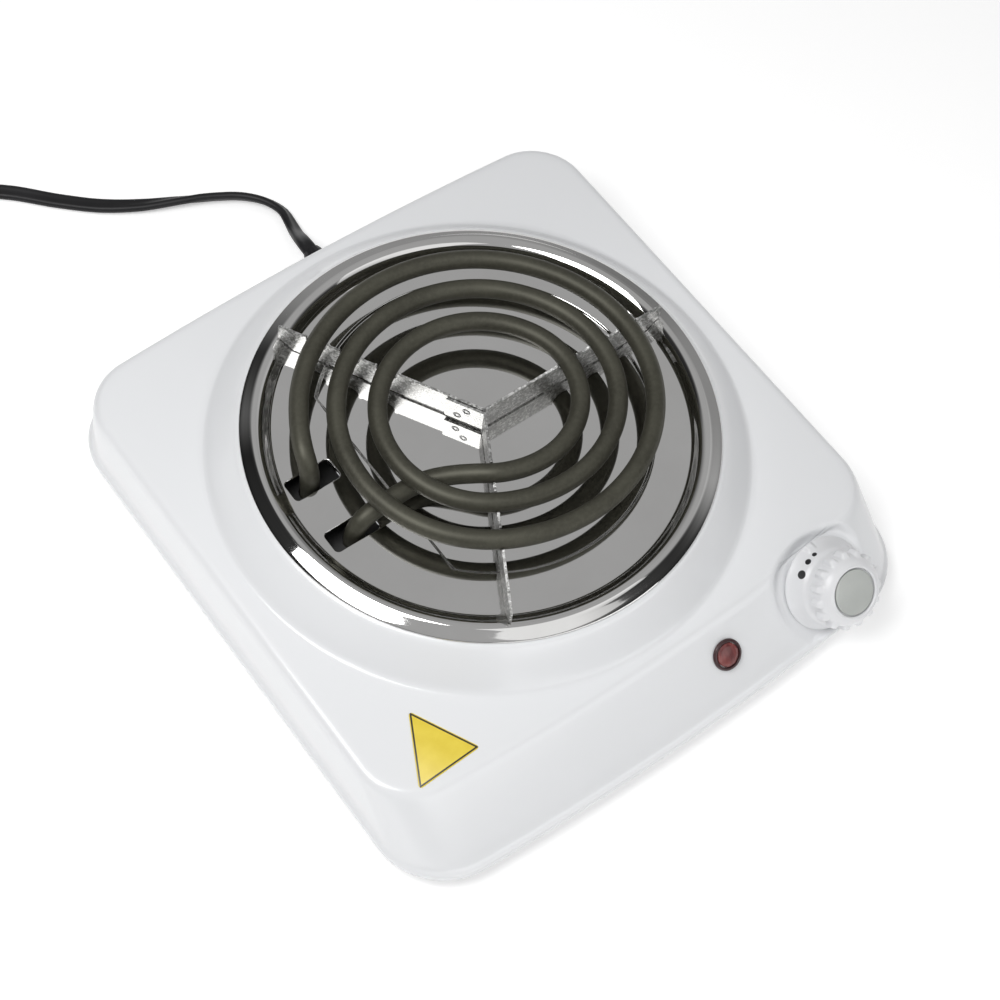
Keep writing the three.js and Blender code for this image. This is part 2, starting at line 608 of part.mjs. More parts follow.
function lampLens() {
  return turned([[0, LENS_BOTTOM_Z], [LENS_RADIUS, LENS_BOTTOM_Z], [LENS_RADIUS, 1.4], [3.8, 2.2], [2.2, 2.7],
    [0, 2.8]], 12);
}

function lampHousing() {
  return turned([[0, -14], [3.4, -14], [LENS_RADIUS, -12.6], [LENS_RADIUS, HOUSING_TOP_Z],
    [0, HOUSING_TOP_Z]], 16);
}

const lampClip = () => turned([[4.7, -3.4], [7.0, -3.4], [7.0, -2.4], [4.7, -2.4]], 16);

// ---------------------------------------------------------------- wiring
// Each wire starts where the cord or lamp ends and runs along the base to a terminal. Its radius, its route.
const WIRES = {
  wire_supply: [1.1, [[6.9, 96, 16.4], [9, 90, 15], [24, 76, 13.5], [60, 62, 13.5], [84, 36, 13.5],
    [90, 0, 13.5], [88, -40, 14], [80, -68, 16], [71, -84, 18.5], [68.3, -90, 22.4], [68.3, -93.5, 25.9]]],
  wire_neutral: [1.1, [[3.1, 96, 16.4], [1, 90, 15], [-14, 76, 13.5], [-36, 56, 13.5], [-52, 38, 15],
    [-59, 26, 17], [-63.7, 18.1, 17.5]]],
  wire_load: [1.1, [[83.5, -93.5, 25.9], [83.5, -90, 22.4], [80, -83, 15], [64, -74, 12.5], [30, -62, 12.5],
    [-10, -50, 13.5], [-40, -34, 13.5], [-56, -19, 15.5], [-62, -9.9, 17.5]]],
  wire_lamp_live: [0.8, [[27.6, -105.7, 13], [28.2, -103.5, 12.2], [36, -98, 12.2], [56, -91, 12.2],
    [70, -88, 12.6], [78, -88, 18], [80.9, -90, 22.3], [80.9, -93.4, 25.8]]],
  wire_lamp_neutral: [0.8, [[24.4, -105.7, 13], [23.8, -103.5, 12.2], [10, -92, 12.2], [-14, -70, 12.2],
    [-44, -44, 12.2], [-64, -26, 12.5], [-70, -8, 13], [-69, 8, 14.5], [-65.6, 15.4, 15.5]]],
};
const wire = (radius, route) => swept(route, circle(0, 0, radius, 5), 2 * route.length);

// ---------------------------------------------------------------- cord, coil and plug
// The stretch from the strain relief to the coil, and the tail from the coil to the plug.
const LEAD_ROUTE = [[5, 118.8, 16.4], [5.1, 121.6, 16.2], [6, 126, 14.2], [7.8, 131.4, 9.7], [9.8, 137, 5.0],
  [11.4, 143, 2.3], [12.2, 150, 1.9], [9.2, 158, 1.9], [2.4, 165.6, 1.9], [-7, 171.6, 1.9], [-20, 178, 1.9],
  [-34, 184.8, 1.9], [-47.4, 193.4, 1.9], [-60.8, 205.4, 1.9], [-75, 219.8, 1.9], [-88, 229.2, 1.9],
  [-102, 232.6, 1.9], [-116, 231.4, 1.9], [-129, 226.6, 1.9], [-143, 220.7, 1.9]];
const TAIL_ROUTE = [[-181, 220.4, 1.9], [-188, 219.0, 1.9], [-196, 216.2, 1.9], [-206, 211.6, 2.4],
  [-215, 206.6, 4.6], [-221, 202.8, 6.4], [...PLUG_PLACE]];
const SECTION_ANGLES = [-60, -20, 20, 60, 120, 160, 200, 240];

// A flat lead with round edges lies on its wide side. The sweep starts with the section's X level where the
// lead sets off along Y, and upright where it sets off along X.
function cordTube(route, steps, startsAlongX) {
  const r = CORD_HEIGHT / 2;
  const half = CORD_WIDTH / 2 - r;
  const section = SECTION_ANGLES.map((a) => {
    const across = (a < 90 ? half : -half) + r * Math.cos(radians(a));
    const up = r * Math.sin(radians(a));
    return startsAlongX ? [up, across] : [across, up];
  });
  return swept(route, section, steps);
}

// The wound turns as one ring with cut corners.
function cordCoil() {
  const inner = CORD_COIL_RADIUS - CORD_WIDTH;
  const outer = CORD_COIL_RADIUS + CORD_WIDTH;
  const cut = CORD_COIL_CORNER;
  const top = CORD_COIL_HEIGHT;
  const profile = [[inner, cut], [inner + cut, 0], [outer - cut, 0], [outer, cut], [outer, top - cut],
    [outer - cut, top], [inner + cut, top], [inner, top - cut]];
  return moved(turned(profile, 24), at(...COIL_CENTRE));
}

// The plug lies along its own X: the cord enters at x = 0, the blades point to +X. Half width and half height
// along it.
const PLUG_LENGTH = 24.5;
const PLUG_WIDTHS = [[0, 3.9], [2, 4.6], [9, 5.6], [13, 9.4], [23, 10.6], [PLUG_LENGTH, 9.8]];
const PLUG_HEIGHTS = [[0, 3], [4, 3.4], [13, 5.8], [PLUG_LENGTH, 6.4]];
const mirrored = (side) => [...side.map(([x, w]) => [x, -w]), ...[...side].reverse()];

function plugBody() {
  const slab = plate(mirrored(PLUG_WIDTHS), -6.4, 6.4);
  const taper = moved(plate(mirrored(PLUG_HEIGHTS), -15, 15), turnX(Math.PI / 2));
  return slab.intersect(taper);
}

const BLADE_START = PLUG_LENGTH + GAP;
const BLADE_END = 41.9;
const BLADE_CHAMFER = 1.5;

function plugBlade(sideways, width) {
  const shoulder = BLADE_END - BLADE_CHAMFER;
  const outline = mirrored([[BLADE_START, width], [shoulder, width], [BLADE_END, width - BLADE_CHAMFER]]);
  const hole = circle(38, 0, 1.5, 8).reverse();
  const blade = plate(outline, -BLADE_THICKNESS / 2, BLADE_THICKNESS / 2, [hole]);
  return moved(blade, chain(at(0, sideways, 0), turnX(Math.PI / 2)));
}

// Moulded on the cord and snapped into the back wall; its tapered end points outwards.
function strainRelief() {
  const boot = turned([[0, -13.5], [3.9, -13.5], [4.3, -8], [5.4, -3.2], [5.4, -2.5], [4.5, -2.5], [4.5, 0.8],
    [5.7, 0.8], [5.7, 2.4], [5.0, 3.0], [3.7, 8.2], [0, 8.2]], 16);
  return moved(boot, alongY(CORD_EXIT.x, 110.1, CORD_EXIT.z));
}

// ---------------------------------------------------------------- assembly
add('top_shell', topShell(), 'enamel');
add('base_plate', basePlate(), 'steel');
for (const [side, sx] of [['left', -1], ['right', 1]]) {
  for (const [end, y] of [['front', FOOT_Y[0]], ['back', FOOT_Y[1]]]) {
    add(`corner_bracket_${end}_${side}`, cornerBracket(sx, y), 'steel');
    add(`foot_${end}_${side}`, foot(), 'rubber').position.set(sx * FOOT_X, y, 0);
    add(`foot_screw_${end}_${side}`, footScrew(), 'steel').position.set(sx * FOOT_X, y, 0);
  }
}

add('drip_pan', dripPan(), 'chrome');
add('heating_element', heatingElement(), 'sheath');
add('spider_v_strip', spiderVStrip(), 'zinc');
add('spider_third_arm', spiderThirdArm(), 'zinc');

add('element_bracket', elementBracket(), 'steel');
['front', 'back'].forEach((name, i) => {
  add(`bracket_screw_${name}`, bracketScrew(), 'steel').position.set(BRACKET_SCREW_X, BRACKET_SCREW_Y[i], 0);
});
['start', 'end'].forEach((name, i) => {
  add(`pin_seal_${name}`, pinSeal(), 'ceramic').position.set(...LEGS[i], 0);
  add(`element_pin_${name}`, elementPin(), 'steel').position.set(...LEGS[i], 0);
});

const control = new THREE.Group();
control.position.copy(KNOB);
control.rotation.x = PANEL_TILT;
burner.add(control);
add('control_knob', controlKnob(), 'white_plastic', control);
add('knob_cap', knobCap(), 'grey_plastic', control);
add('thermostat_shaft', thermostatShaft(), 'steel', control);
add('thermostat_bracket', thermostatBracket(), 'steel', control);
add('thermostat_body', thermostatBody(), 'ceramic', control);
for (const [name, x] of [['left', -THERMOSTAT_BOLT_X], ['right', THERMOSTAT_BOLT_X]]) {
  add(`thermostat_bolt_${name}`, thermostatBolt(), 'steel', control).position.set(x, THERMOSTAT_BOLT_Y, 0);
}
add('bimetal_leaf', bimetalLeaf(), 'brass', control);
add('contact_tab_supply', contactTab(-7), 'brass', control);
add('contact_tab_load', contactTab(7), 'brass', control);

const lamp = new THREE.Group();
lamp.position.copy(LAMP);
lamp.rotation.x = PANEL_TILT;
burner.add(lamp);
add('lamp_bezel', lampBezel(), 'dark_plastic', lamp);
add('lamp_lens', lampLens(), 'lamp_red', lamp);
add('lamp_housing', lampHousing(), 'dark_plastic', lamp);
add('lamp_clip', lampClip(), 'steel', lamp);

const labelOutline = [[-84.2, -72.4], [-98.0, -98.2], [-71.6, -97.4]];
add('caution_label', plate(labelOutline, PLATEAU_Z + GAP, PLATEAU_Z + 2 * GAP), 'label_yellow');

for (const [name, [radius, route]] of Object.entries(WIRES)) {
  add(name, wire(radius, route), 'wire_white');
}

add('strain_relief', strainRelief(), 'rubber');
add('cord_lead', cordTube(LEAD_ROUTE, 30, false), 'cord_black');
add('cord_coil', cordCoil(), 'cord_black');
add('cord_tail', cordTube(TAIL_ROUTE, 8, true), 'cord_black');

const plug = new THREE.Group();
plug.position.copy(PLUG_PLACE).addScaledVector(PLUG_DIRECTION, GAP + 0.1);
plug.rotation.z = Math.atan2(PLUG_DIRECTION.y, PLUG_DIRECTION.x);
burner.add(plug);
add('plug_body', plugBody(), 'cord_black', plug);
add('plug_blade_neutral', plugBlade(BLADE_SPREAD, NEUTRAL_HALF_WIDTH), 'brass', plug);
add('plug_blade_live', plugBlade(-BLADE_SPREAD, LIVE_HALF_WIDTH), 'brass', plug);

export default group;
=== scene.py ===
"""Looks of the single-coil electric hot plate burner: metres, +Z up, control panel towards -Y."""
import json
import math

import bmesh
import bpy
import numpy as np
from mathutils import Matrix, Vector


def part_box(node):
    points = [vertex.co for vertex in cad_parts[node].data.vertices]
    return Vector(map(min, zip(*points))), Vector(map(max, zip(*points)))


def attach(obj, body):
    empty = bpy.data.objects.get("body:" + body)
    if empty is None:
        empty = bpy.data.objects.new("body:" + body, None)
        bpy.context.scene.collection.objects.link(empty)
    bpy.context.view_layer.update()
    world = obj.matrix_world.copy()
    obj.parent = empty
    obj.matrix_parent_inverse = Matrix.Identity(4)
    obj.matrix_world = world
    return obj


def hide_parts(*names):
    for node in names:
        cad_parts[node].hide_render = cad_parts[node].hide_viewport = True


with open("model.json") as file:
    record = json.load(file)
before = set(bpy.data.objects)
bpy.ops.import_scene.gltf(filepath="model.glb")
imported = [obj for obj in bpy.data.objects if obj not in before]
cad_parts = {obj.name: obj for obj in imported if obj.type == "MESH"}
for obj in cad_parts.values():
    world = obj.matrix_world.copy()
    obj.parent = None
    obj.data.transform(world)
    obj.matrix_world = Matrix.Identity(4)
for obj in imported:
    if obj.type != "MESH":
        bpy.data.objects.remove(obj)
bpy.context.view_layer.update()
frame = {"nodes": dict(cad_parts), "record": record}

# ------------------------------------------------ places, in millimetres from the drip pan's middle
MM = 0.001
PAN_LOW, PAN_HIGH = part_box("drip_pan")
CENTRE_Y = (PAN_LOW.y + PAN_HIGH.y) / 2


def at(point):
    """Takes a point in millimetres from the drip pan's middle, at table height, into the frame."""
    return Vector((point[0] * MM, point[1] * MM + CENTRE_Y, point[2] * MM))


# ---------------------------------------------------------------- camera
CAMERA_AZIMUTH = math.radians(-44.31)
CAMERA_ELEVATION = math.radians(59.99)
CAMERA_ROLL = math.radians(8.78)
CAMERA_DISTANCE = 0.80567
CAMERA_TARGET = (5.93, -9.01, 0.0)
CAMERA_LENS = 75.36
CAMERA_REACH = 20


def add_camera():
    a, e, r = CAMERA_AZIMUTH, CAMERA_ELEVATION, CAMERA_ROLL
    back = Vector((math.sin(a) * math.cos(e), -math.cos(a) * math.cos(e), math.sin(e)))
    level = Vector((math.cos(a), math.sin(a), 0))
    right = math.cos(r) * level + math.sin(r) * back.cross(level)
    camera = bpy.data.objects.new("camera", bpy.data.cameras.new("camera"))
    camera.data.lens = CAMERA_LENS
    camera.data.clip_end = CAMERA_REACH
    rotation = Matrix((right, back.cross(right), back)).transposed()
    camera.matrix_world = Matrix.Translation(at(CAMERA_TARGET) + back * CAMERA_DISTANCE) @ rotation.to_4x4()
    bpy.context.scene.collection.objects.link(camera)
    bpy.context.scene.camera = camera


add_camera()


# ---------------------------------------------------------------- curves and meshes
CENTRIPETAL = 0.5
SHORTEST_SPAN = 1e-6
MERGE_DISTANCE = 1e-7


def catmull_rom(points, spacing):
    """Points about spacing apart on the centripetal Catmull-Rom curve through the given ones."""
    rows = [np.asarray(p, float) for p in points]
    rows = [2 * rows[0] - rows[1]] + rows + [2 * rows[-1] - rows[-2]]
    out = []
    for p0, p1, p2, p3 in zip(rows, rows[1:], rows[2:], rows[3:]):
        spans = ((p0, p1), (p1, p2), (p2, p3))
        d1, d2, d3 = (max(np.linalg.norm(b - a) ** CENTRIPETAL, SHORTEST_SPAN) for a, b in spans)
        m1 = d2 * ((p1 - p0) / d1 - (p2 - p0) / (d1 + d2) + (p2 - p1) / d2)
        m2 = d2 * ((p2 - p1) / d2 - (p3 - p1) / (d2 + d3) + (p3 - p2) / d3)
        steps = max(1, round(float(np.linalg.norm(p2 - p1)) / spacing))
        for i in range(steps):
            t = i / steps
            out.append((2 * t**3 - 3 * t**2 + 1) * p1 + (t**3 - 2 * t**2 + t) * m1
                       + (3 * t**2 - 2 * t**3) * p2 + (t**3 - t**2) * m2)
    out.append(rows[-2])
    return out


def on_circle(radius, angle):
    return radius * math.cos(angle), radius * math.sin(angle)


def full_turn(count):
    """Angles evenly spread over a circle."""
    return [2 * math.pi * k / count for k in range(count)]


def rounded_box(centre, size, radius, grow=0.0, steps=7):
    """Outline of a rectangle with round corners, grown on every side."""
    half_w, half_h, r = size[0] / 2 + grow, size[1] / 2 + grow, radius + grow
    points = []
    for quarter, (sx, sy) in enumerate([(1, 1), (-1, 1), (-1, -1), (1, -1)]):
        for k in range(steps + 1):
            x, y = on_circle(r, math.radians(90 * (quarter + k / steps)))
            points.append((centre[0] + sx * (half_w - r) + x, centre[1] + sy * (half_h - r) + y))
    return points


def loft(rings, wrap_rings=False):
    """Points and faces of the surface through rings of equal length."""
    count = len(rings[0])
    points = [tuple(p) for ring in rings for p in ring]
    faces = []
    pairs = len(rings) if wrap_rings else len(rings) - 1
    for r in range(pairs):
        a, b = r * count, ((r + 1) % len(rings)) * count
        for i in range(count):
            j = (i + 1) % count
            faces.append((a + i, a + j, b + j, b + i))
    return points, faces


def capped(points, faces, rings):
    """Closes a lofted tube with a flat face at each end."""
    count = len(rings[0])
    last = (len(rings) - 1) * count
    return points, faces + [tuple(range(count - 1, -1, -1)), tuple(range(last, last + count))]


def lathe(profile, segments):
    """Rings of points about Z for (radius, z) pairs."""
    return [[(*on_circle(r, a), z) for a in full_turn(segments)] for r, z in profile]


def placed(points, origin, tilt):
    """Moves points of a group tilted about X onto their place."""
    c, s = math.cos(tilt), math.sin(tilt)
    return [(origin[0] + x, origin[1] + c * y - s * z, origin[2] + s * y + c * z) for x, y, z in points]


def stand_in(mesh, bm, material, replaces, body="housing"):
    """Fills a mesh and makes an object of it, which rides on a body and stands for CAD nodes."""
    bm.to_mesh(mesh)
    bm.free()
    obj = bpy.data.objects.new(mesh.name, mesh)
    bpy.context.scene.collection.objects.link(obj)
    mesh.materials.append(material)
    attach(obj, body)
    if replaces:
        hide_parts(*replaces)
    return obj


def mark_sharp(bm, angle):
    """Keeps the edges sharp that bend by more than an angle."""
    for edge in bm.edges:
        if len(edge.link_faces) == 2 and edge.calc_face_angle() > angle:
            edge.smooth = False


def piece(name, points, faces, material, replaces=(), body="housing", slot=None, flat_angle=None):
    """Builds a smooth object from points in millimetres; edges above flat_angle stay sharp."""
    mesh = bpy.data.meshes.new(name)
    mesh.from_pydata([at(p) for p in points], [], faces)
    bm = bmesh.new()
    bm.from_mesh(mesh)
    bmesh.ops.remove_doubles(bm, verts=bm.verts, dist=MERGE_DISTANCE)
    bmesh.ops.recalc_face_normals(bm, faces=bm.faces)
    for face in bm.faces:
        face.smooth = True
    if flat_angle is not None:
        mark_sharp(bm, flat_angle)
    return stand_in(mesh, bm, material, replaces, body)


# ---------------------------------------------------------------- materials
# The colour sockets of a Mix node, which shares its socket names between its data types.
MIX_A, MIX_B, MIX_RESULT = 6, 7, 2


class Nodes:
    """A small helper that adds and links shader nodes."""

    def __init__(self, name):
        self.material = bpy.data.materials.new(name)
        self.material.use_nodes = True
        self.tree = self.material.node_tree
        self.shader = self.tree.nodes["Principled BSDF"]

    def add(self, kind, inputs=None, **settings):
        node = self.tree.nodes.new(kind)
        for key, value in settings.items():
            setattr(node, key, value)
        for key, value in (inputs or {}).items():
            self.feed(node.inputs[key], value)
        return node

    def feed(self, socket, value):
        if isinstance(value, bpy.types.NodeSocket):
            self.tree.links.new(value, socket)
        else:
            socket.default_value = value

    def set(self, **values):
        """Sets or links sockets of the Principled shader."""
        for key, value in values.items():
            self.feed(self.shader.inputs[key.replace("_", " ")], value)

    def place(self, scale=(1, 1, 1)):
        """Object coordinates, stretched to draw a texture out along an axis."""
        coordinates = self.add("ShaderNodeTexCoord").outputs["Object"]
        return self.add("ShaderNodeMapping", {"Vector": coordinates, "Scale": scale}).outputs["Vector"]

    def noise(self, scale, detail=3.0, roughness=0.5, vector=None):
        node = self.add("ShaderNodeTexNoise", {"Scale": scale, "Detail": detail, "Roughness": roughness,
                                               "Vector": vector or self.place()})
        return node.outputs["Fac"]

    def ramp(self, factor, *stops):
        """Colours between (position, colour or grey) stops."""
        node = self.add("ShaderNodeValToRGB", {"Fac": factor})
        while len(node.color_ramp.elements) < len(stops):
            node.color_ramp.elements.new(1.0)
        for element, (position, colour) in zip(node.color_ramp.elements, stops):
            element.position = position
            element.color = (*colour, 1) if hasattr(colour, "__len__") else (colour, colour, colour, 1)
        return node.outputs["Color"]

    def range(self, value, low, high, start=0.0, end=1.0):
        node = self.add("ShaderNodeMapRange", {"Value": value, "From Min": start, "From Max": end,
                                               "To Min": low, "To Max": high})
        return node.outputs["Result"]

    def math(self, operation, a, b=0.0):
        node = self.add("ShaderNodeMath", operation=operation)
        self.feed(node.inputs[0], a)
        self.feed(node.inputs[1], b)
        return node.outputs["Value"]

    def mix(self, factor, a, b):
        node = self.add("ShaderNodeMix", data_type="RGBA")
        self.feed(node.inputs["Factor"], factor)
        self.feed(node.inputs[MIX_A], a)
        self.feed(node.inputs[MIX_B], b)
        return node.outputs[MIX_RESULT]

    def bump(self, height, strength, distance):
        node = self.add("ShaderNodeBump", {"Height": height, "Strength": strength, "Distance": distance})
        return node.outputs["Normal"]


def enamel():
    """Glossy white enamel: faint orange peel and a barely uneven tone."""
    n = Nodes("white_enamel")
    tone = n.ramp(n.noise(18, 2), (0.3, (0.835, 0.845, 0.86)), (0.7, (0.845, 0.854, 0.868)))
    peel = n.bump(n.noise(420, 2), 0.05, 0.0001)
    n.set(Base_Color=tone, Roughness=n.range(n.noise(60, 3), 0.27, 0.30), Normal=peel, Coat_Weight=0.35,
          Coat_Roughness=0.08)
    return n.material


def chrome():
    """Bright plated sheet: nearly a mirror, with soft waves from the press and fine wiped scratches."""
    n = Nodes("bright_chrome")
    waves = n.bump(n.noise(28, 1), 0.08, 0.00004)
    smudge = n.noise(30, 4, 0.6)
    wiped = n.noise(900, 2, vector=n.place((1, 0.06, 1)))
    gloss = n.math("ADD", n.range(smudge, 0.03, 0.065, 0.35, 0.75), n.range(wiped, 0.0, 0.05, 0.6, 0.8))
    n.set(Base_Color=n.ramp(smudge, (0.3, (0.70, 0.695, 0.685)), (0.75, (0.75, 0.746, 0.738))), Metallic=1.0,
          Roughness=gloss, Normal=waves)
    return n.material


def element_sheath():
    """Oxidised alloy tube: dark olive grey with a drawn grain and paler rubbed patches."""
    n = Nodes("element_sheath")
    grain = n.noise(700, 4, 0.6)
    patch = n.noise(45, 3, 0.55)
    dark = n.ramp(patch, (0.3, (0.056, 0.054, 0.040)), (0.7, (0.082, 0.080, 0.060)))
    n.set(Base_Color=n.mix(n.range(grain, 0.0, 0.35, 0.4, 0.8), dark, (0.13, 0.127, 0.098, 1)), Metallic=0.5,
          Roughness=n.range(grain, 0.42, 0.6), Normal=n.bump(grain, 0.25, 0.00008))
    return n.material


def galvanised():
    """Zinc-coated strip with crystalline spangle."""
    n = Nodes("galvanised_strip")
    cells = n.add("ShaderNodeTexVoronoi", {"Scale": 1300.0, "Randomness": 1.0, "Vector": n.place()})
    value = n.add("ShaderNodeSeparateColor", {"Color": cells.outputs["Color"]}).outputs[0]
    tone = n.ramp(value, (0.0, (0.30, 0.30, 0.29)), (0.5, (0.46, 0.46, 0.45)), (1.0, (0.85, 0.85, 0.84)))
    fine = n.noise(2600, 3)
    n.set(Base_Color=tone, Metallic=0.85, Roughness=n.range(value, 0.28, 0.55),
          Normal=n.bump(n.math("ADD", value, n.math("MULTIPLY", fine, 0.5)), 0.4, 0.00008))
    return n.material


def plain_steel(name="pressed_steel", shade=0.42):
    """Bare pressed steel with a drawn grain."""
    n = Nodes(name)
    grain = n.noise(500, 3, vector=n.place((1, 9, 1)))
    n.set(Base_Color=n.ramp(grain, (0.3, shade * 0.85), (0.7, shade)), Metallic=0.9,
          Roughness=n.range(n.noise(90, 3), 0.32, 0.5), Normal=n.bump(grain, 0.1, 0.00004))
    return n.material


def brass():
    """Rolled brass strip with a drawn grain."""
    n = Nodes("rolled_brass")
    grain = n.noise(700, 3, vector=n.place((1, 6, 1)))
    n.set(Base_Color=n.ramp(grain, (0.3, (0.50, 0.36, 0.14)), (0.7, (0.62, 0.46, 0.20))), Metallic=1.0,
          Roughness=n.range(n.noise(120, 3), 0.25, 0.4), Normal=n.bump(grain, 0.1, 0.00003))
    return n.material


def moulded(name, dark, light, roughness, peel=0.12, specular=0.5):
    """Moulded plastic or rubber with a fine texture and slightly uneven tone."""
    n = Nodes(name)
    n.set(Base_Color=n.ramp(n.noise(70, 3), (0.3, dark), (0.7, light)),
          Roughness=n.range(n.noise(160, 3), roughness - 0.04, roughness + 0.06),
          Normal=n.bump(n.noise(900, 2), peel, 0.00005), Specular_IOR_Level=specular)
    return n.material


# ---------------------------------------------------------------- cord
CORD_WIDTH = 6.4
CORD_THICKNESS = 3.2
CORD_SPACING = 2.2
LEAD = [(5, 118.6, 16.3), (5.1, 121.6, 16.2), (6, 126, 14.2), (7.8, 131.4, 9.8), (9.8, 137, 5.4),
        (11.4, 143, 3.4), (12.2, 150, 3.1), (9.2, 158, 3.1), (2.4, 165.6, 3.1), (-7, 171.6, 3.0),
        (-20, 178, 2.8), (-34, 184.8, 2.4), (-47.4, 193.4, 2.1), (-60.8, 205.4, 1.9), (-75, 219.8, 1.9),
        (-88, 229.2, 1.9), (-102, 232.6, 1.9), (-116, 231.4, 1.9), (-129, 226.6, 1.9), (-143, 221.8, 2.0)]
TAIL = [(-181, 221.6, 3.4), (-188, 219.4, 2.2), (-196, 216.2, 1.9), (-206, 211.6, 2.4), (-215, 206.6, 4.6),
        (-221, 202.8, 6.4), (-227, 199, 6.9)]
# How far the flat lead leans over, as (distance along it, degrees): it twists onto its edge and back.
LEAN = [(0, 0), (12, -8), (34, -50), (55, -60), (72, -60), (96, -15), (112, 0), (150, 10), (185, 0)]
RIDGE_HALF_ANGLE, RIDGE_STEPS = 118, 10
COIL_CENTRE = (-163.0, 262.0)
COIL_RADIUS = 35.0
COIL_TURNS = 3
COIL_STEPS = 40 * COIL_TURNS
COIL_FIRST, COIL_LAST = -78.0, -100.0 - 360.0 * COIL_TURNS
# Where the winding runs, as (share of it, distance outside the coil's radius, height).
COIL_LAYOUT = [(0.0, 3.2, 2.3), (0.30, 3.2, 2.3), (0.37, -3.2, 2.3), (0.63, -3.2, 2.3), (0.70, 0.4, 5.6),
               (0.95, 1.6, 5.6), (1.0, 3.2, 4.6)]
TIE_SIZE, TIE_CORNER, TIE_Z = (14.6, 7.5), 2.2, 4.3
TIE_HALF_THICKNESS, TIE_HALF_WIDTH = 0.45, 2.0
TIE_CORNER_STEPS, TIE_SIDES = 6, 10


def coil_turns():
    """The wound stretch: two turns side by side on the table and one on top of them."""
    shares, outwards, heights = zip(*COIL_LAYOUT)
    points = []
    for i in range(COIL_STEPS + 1):
        t = i / COIL_STEPS
        angle = math.radians(COIL_FIRST - (COIL_FIRST - COIL_LAST) * t)
        x, y = on_circle(COIL_RADIUS + np.interp(t, shares, outwards), angle)
        points.append((COIL_CENTRE[0] + x, COIL_CENTRE[1] + y, np.interp(t, shares, heights)))
    return points


def flat_lead_ring(centre, along, lean):
    """One section of the flat twin lead: two round ridges with a shallow groove between them."""
    side = along.cross(Vector((0, 0, 1))).normalized()
    up = side.cross(along)
    across = math.cos(lean) * side + math.sin(lean) * up
    normal = across.cross(along).normalized()
    r = CORD_THICKNESS / 2
    half = CORD_WIDTH / 2 - r
    ring = []
    for sign in (1, -1):
        for k in range(RIDGE_STEPS + 1):
            a = math.radians(-RIDGE_HALF_ANGLE + 2 * RIDGE_HALF_ANGLE * k / RIDGE_STEPS)
            u, v = sign * (half + r * math.cos(a)), sign * r * math.sin(a)
            ring.append(centre + across * u + normal * v)
    return ring


def directions(points):
    """The way a path runs at each of its points."""
    ahead, behind = points[1:] + points[-1:], points[:1] + points[:-1]
    return [(b - a).normalized() for a, b in zip(behind, ahead)]


def add_cord(material):
    points = [Vector(p) for p in catmull_rom(LEAD + coil_turns() + TAIL, CORD_SPACING)]
    distances, degrees = zip(*LEAN)
    travel = 0.0
    rings = []
    for p, before, along in zip(points, points[:1] + points, directions(points)):
        travel += (p - before).length
        rings.append(flat_lead_ring(p, along, math.radians(np.interp(travel, distances, degrees))))
    cord = piece("mains_lead", *capped(*loft(rings), rings), material,
                 ("cord_lead", "cord_coil", "cord_tail"), slot="cord_black", flat_angle=1.2)
    return cord, [at(p) for p in points]


def add_tie(material):
    """A soft wire tie round the bundle, at the far side of the coil."""
    rings = []
    for u, z in rounded_box((0, 0), TIE_SIZE, TIE_CORNER, steps=TIE_CORNER_STEPS):
        norm = math.hypot(u, z)
        ring = []
        for a in full_turn(TIE_SIDES):
            d, w = TIE_HALF_THICKNESS * math.cos(a), TIE_HALF_WIDTH * math.sin(a)
            ring.append((COIL_CENTRE[0] + w, COIL_CENTRE[1] + COIL_RADIUS + u + d * u / norm,
                         TIE_Z + z + d * z / norm))
        rings.append(ring)
    return piece("lead_tie", *loft(rings, True), material, slot="cord_black")


cord_vinyl = moulded("cord_vinyl", (0.009, 0.009, 0.010), (0.016, 0.0155, 0.017), 0.44, 0.08, specular=0.3)
lead, lead_path = add_cord(cord_vinyl)
tie = add_tie(moulded("tie_plastic", (0.02, 0.02, 0.021), (0.03, 0.03, 0.031), 0.5))

# ---------------------------------------------------------------- top shell
SHEET = 1.0
FRONT_BOW, BACK_BOW = 5.5, 4.0
# The raised collar round the pan as (radius, height), above and below the sheet.
COLLAR = [(83.2, 48.0), (88.0, 48.0), (89.9, 47.2), (91.4, 45.6), (100.8, 34.9), (102.4, 34.0)]
COLLAR_IN = [(101.4, 33.0), (99.8, 34.1), (90.4, 44.9), (89.2, 46.3), (87.6, 47.0), (83.2, 47.0)]
# z, half width, front edge, back edge and corner radius of the body's outline at each level, outside and
# inside
BODY = [(34.0, 107.8, -103.3, 104.6, 17.0), (33.6, 109.6, -105.0, 106.3, 19.0),
        (32.2, 111.1, -107.1, 107.8, 20.5), (30.0, 111.7, -109.4, 108.4, 21.0),
        (14.5, 113.1, -124.9, 110.0, 23.0), (12.0, 113.4, -127.0, 110.5, 23.3),
        (10.4, 113.8, -128.6, 111.2, 23.6), (9.6, 114.8, -130.0, 112.2, 24.6),
        (8.8, 115.2, -130.5, 112.6, 25.0), (7.6, 115.2, -130.5, 112.6, 25.0)]
BODY_IN = [(7.6, 114.0, -129.2, 111.4, 23.8), (9.0, 113.7, -128.8, 111.1, 23.5),
           (10.4, 112.6, -127.1, 110.0, 22.6), (14.5, 112.1, -123.5, 109.0, 22.0),
           (29.6, 110.7, -108.4, 107.4, 20.0), (31.7, 110.1, -106.0, 106.8, 19.5),
           (32.7, 108.8, -104.2, 105.5, 18.0), (33.0, 107.4, -102.9, 104.2, 16.6)]
SIDE_STEPS, CORNER_STEPS = 26, 18
COLLAR_SPACING, WALL_SPACING = 0.9, 1.3
PLATEAU_STEPS_OUT, PLATEAU_STEPS_IN = 14, 5
KNOB_CENTRE = (75.3, -114.1, 22.4)
PANEL_TILT = math.pi / 4
